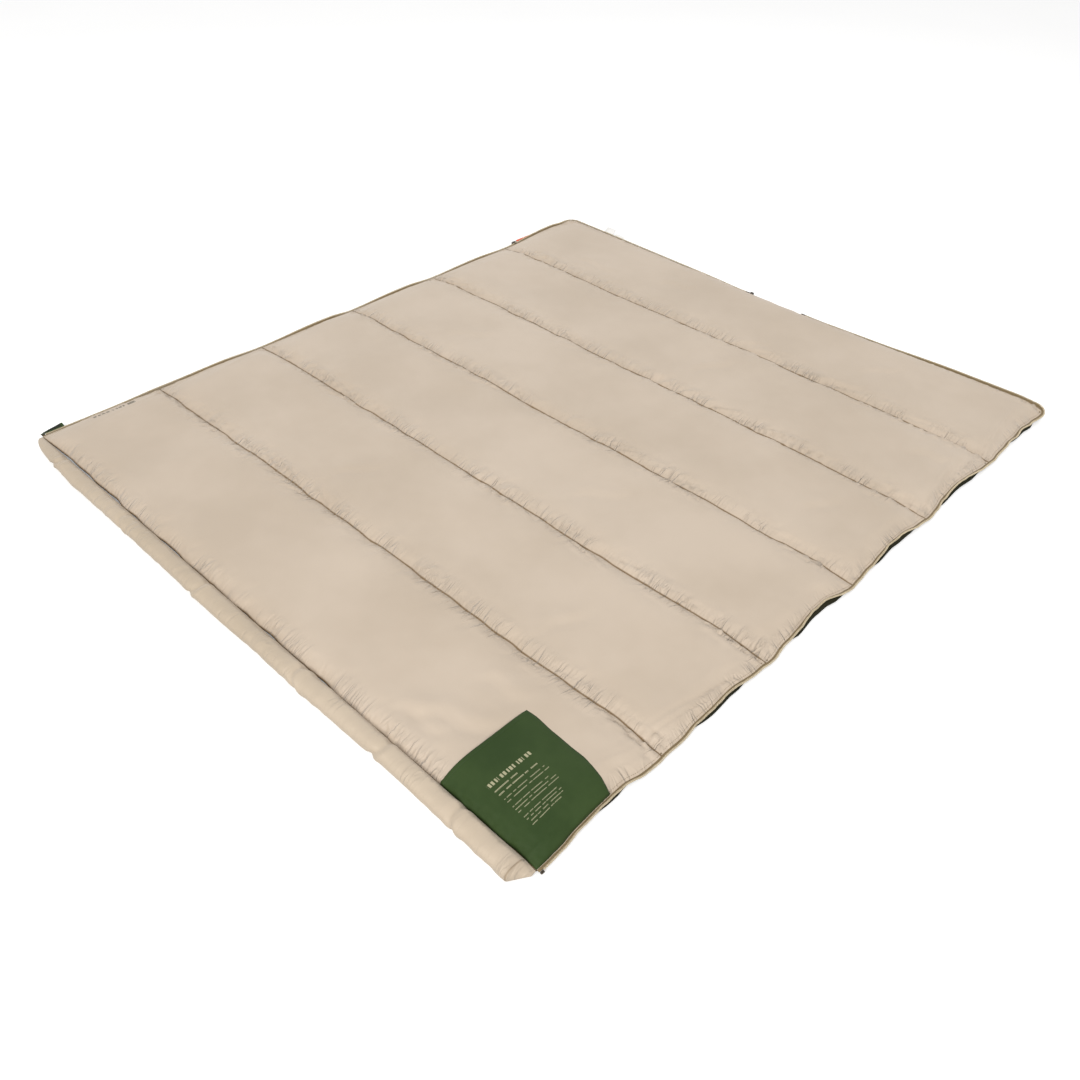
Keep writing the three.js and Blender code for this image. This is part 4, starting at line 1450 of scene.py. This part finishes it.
def droopTab(piece):
    # the tab hangs from the zip's end towards the floor
    low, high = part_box("zip_tab")
    points = meshPoints(piece)
    share = np.clip((high.x - points[:, 0]) / (high.x - low.x), 0, 1.1)
    along = (points[:, 1] - low.y) / (high.y - low.y)
    points[:, 0] += (tabLook["shorten"] + 0.4 * (1 - along)) * (high.x - low.x) * share ** 1.3
    points[:, 2] += (tabLook["raise"] * along - tabLook["droop"]) * share ** 1.5
    points[:, 2] += 0.0008 * np.sin(along * 5) * share
    piece.data.vertices.foreach_set("co", points.astype(np.float32).ravel())
    piece.data.update()


def webbing(name, outline, low, high):
    # a flat woven strip cut to an outline, divided so that it can bend
    piece = plate(name, outline, low, high, 0.0004, 2)
    shape = bmesh.new()
    shape.from_mesh(piece.data)
    for values, steps, normal in zip(zip(*outline), (12, 24), (Vector((1, 0, 0)), Vector((0, 1, 0)))):
        for value in np.linspace(min(values), max(values), steps)[1:-1]:
            cut = shape.verts[:] + shape.edges[:] + shape.faces[:]
            bmesh.ops.bisect_plane(shape, geom=cut, plane_co=normal * value, plane_no=normal)
    shape.to_mesh(piece.data)
    shape.free()
    return piece


def makeTab():
    low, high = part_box("zip_tab")
    tab = dress(webbing("zip_tab_cloth", boxOutline(low, high, 0.004, 6), low.z, high.z), "tabCloth")
    droopTab(tab)
    attach(tab, "pocket_cloth", "zip_tab", "zip_tab")
    corners = boxOutline(low, high, 0.003, 5, tabLook["stitchIn"])
    path = np.array([(x, y, high.z + 0.0001) for x, y in corners + corners[:1]])
    stitches = runAlong("zip_tab_stitch", [path], stitchTree, tabStitch, "threadGreen")
    droopTab(stitches)
    attach(stitches, "thread", "zip_tab")
    low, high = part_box("tab_hook_patch")
    base = plate("hookBase", boxOutline(low, high, 0.002), low.z, low.z + 0.0005, 0.0002)
    rows = []
    ys = np.linspace(low.y + 0.0014, high.y - 0.0014, 8)
    for x in np.arange(low.x + 0.0014, high.x - 0.001, tabLook["hookPitch"]):
        rows.append(np.array([(x, y, low.z + 0.0008) for y in ys]))
    hooks = runAlong("hooks", rows, coilTree, hookSizes, "hook")
    patch = dress(joined("tab_hook_patch_detailed", [base, hooks]), "hook")
    droopTab(patch)
    attach(patch, "hook_and_loop", "zip_tab", "tab_hook_patch")


def makeLoopPatch():
    low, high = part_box("tab_loop_patch")
    xs = np.linspace(low.x + 0.0003, high.x - 0.0003, 22)
    ys = np.linspace(low.y + 0.0003, high.y - 0.0003, 46)
    gridX, gridY = np.meshgrid(xs, ys, indexing="ij")
    places = shell.at(gridX, gridY)
    rim = np.minimum(np.minimum(gridX - xs[0], xs[-1] - gridX), np.minimum(gridY - ys[0], ys[-1] - gridY))
    pile = 0.0008 + 0.0003 * softNoise(gridX, gridY, 0.0016, 61)
    top, bottom = places.copy(), places.copy()
    top[..., 2] -= 0.0003
    bottom[..., 2] -= 0.0004 + pile * smooth(rim, 0, 0.0012)
    bottom[..., 2] = np.maximum(bottom[..., 2], 0.0003)
    patch = dress(closedPad("tab_loop_patch_pile", top, bottom), "hook")
    attach(patch, "hook_and_loop", "right_half", "tab_loop_patch")


makeTab()
makeLoopPatch()
print("labels and tab made")

# floor, lights and camera
studio = {
    "floorReach": 14.0,
    "floorLevel": -0.0006,
    "floorColour": (0.95, 0.95, 0.95),
    "floorBounce": (0.55, 0.54, 0.52),  # the floor as the quilt's underside sees it
    "floorGlow": 0.25,
    "world": 0.62,
}
# place, target, size, power, colour
lights = {
    "key": ((4.5, -7.2, 6.5), (0, 0, 0), (4.5, 4.5), 745.0, (1.0, 0.985, 0.965)),
    "fill": ((-2.6, 1.6, 2.4), (0, 0, 0), (2.4, 2.4), 16.0, (1, 1, 1)),
    "back": ((1.2, 3.2, 2.4), (0, 0.4, 0), (3.0, 1.6), 12.0, (1, 1, 1)),
}
# where the camera stands: angles in degrees, distance and target in metres
cameraLook = {"turn": 43.267, "height": 39.94, "tilt": 1.45, "distance": 2.7015,
              "target": (0.3272, -0.4151, 0), "lens": 34.08, "sensor": 36.0}


def makeFloor():
    mesh = bpy.data.meshes.new("studioFloor")
    reach, level = studio["floorReach"], studio["floorLevel"]
    corners = [(x * reach, y * reach, level) for x, y in ((-1, -1), (1, -1), (1, 1), (-1, 1))]
    mesh.from_pydata(corners, [], [(0, 1, 2, 3)])
    floor = linkPiece("studioFloor", mesh)
    material, tree, shader = newMaterial("floorPaper", Roughness=0.85)
    noise = noiseNode(tree, objectPlace(tree), Scale=1.5)
    grey = studio["floorColour"]
    paler = tuple(min(1.0, channel * 1.03) for channel in grey)
    paper = mixColour(tree, noise.outputs["Fac"], grey, paler)
    rays = tree.nodes.new("ShaderNodeLightPath")
    seen = rays.outputs["Is Camera Ray"]
    tree.links.new(mixColour(tree, seen, studio["floorBounce"], paper), shader.inputs["Base Color"])
    shader.inputs["Emission Color"].default_value = (1, 1, 1, 1)
    tree.links.new(mathNode(tree, "MULTIPLY", seen, studio["floorGlow"]), shader.inputs["Emission Strength"])
    floor.data.materials.append(material)


def makeLight(name, place, target, size, power, colour):
    data = bpy.data.lights.new(name, "AREA")
    data.shape = "RECTANGLE"
    data.size, data.size_y = size
    data.energy = power
    data.color = colour
    lamp = linkPiece(name, data)
    lamp.location = place
    lamp.rotation_euler = (Vector(target) - Vector(place)).to_track_quat("-Z", "Y").to_euler()


def makeCamera():
    look = cameraLook
    turn, height, tilt = (math.radians(look[angle]) for angle in ("turn", "height", "tilt"))
    back = Vector((math.sin(turn) * math.cos(height), -math.cos(turn) * math.cos(height), math.sin(height)))
    level = Vector((math.cos(turn), math.sin(turn), 0))
    up = back.cross(level)
    right = level * math.cos(tilt) + up * math.sin(tilt)
    up = up * math.cos(tilt) - level * math.sin(tilt)
    data = bpy.data.cameras.new("camera")
    data.lens, data.sensor_width = look["lens"], look["sensor"]
    camera = linkPiece("camera", data)
    place = Vector(look["target"]) + back * look["distance"]
    camera.matrix_world = Matrix.Translation(place) @ Matrix((right, up, back)).transposed().to_4x4()
    bpy.context.scene.camera = camera


makeFloor()
for name, values in lights.items():
    makeLight(name, *values)
world = bpy.data.worlds.new("studio")
world.use_nodes = True
background = world.node_tree.nodes["Background"].inputs
background["Color"].default_value = (1, 1, 1, 1)
background["Strength"].default_value = studio["world"]
bpy.context.scene.world = world
bpy.context.scene.view_settings.view_transform = "Standard"
makeCamera()
print("studio ready")
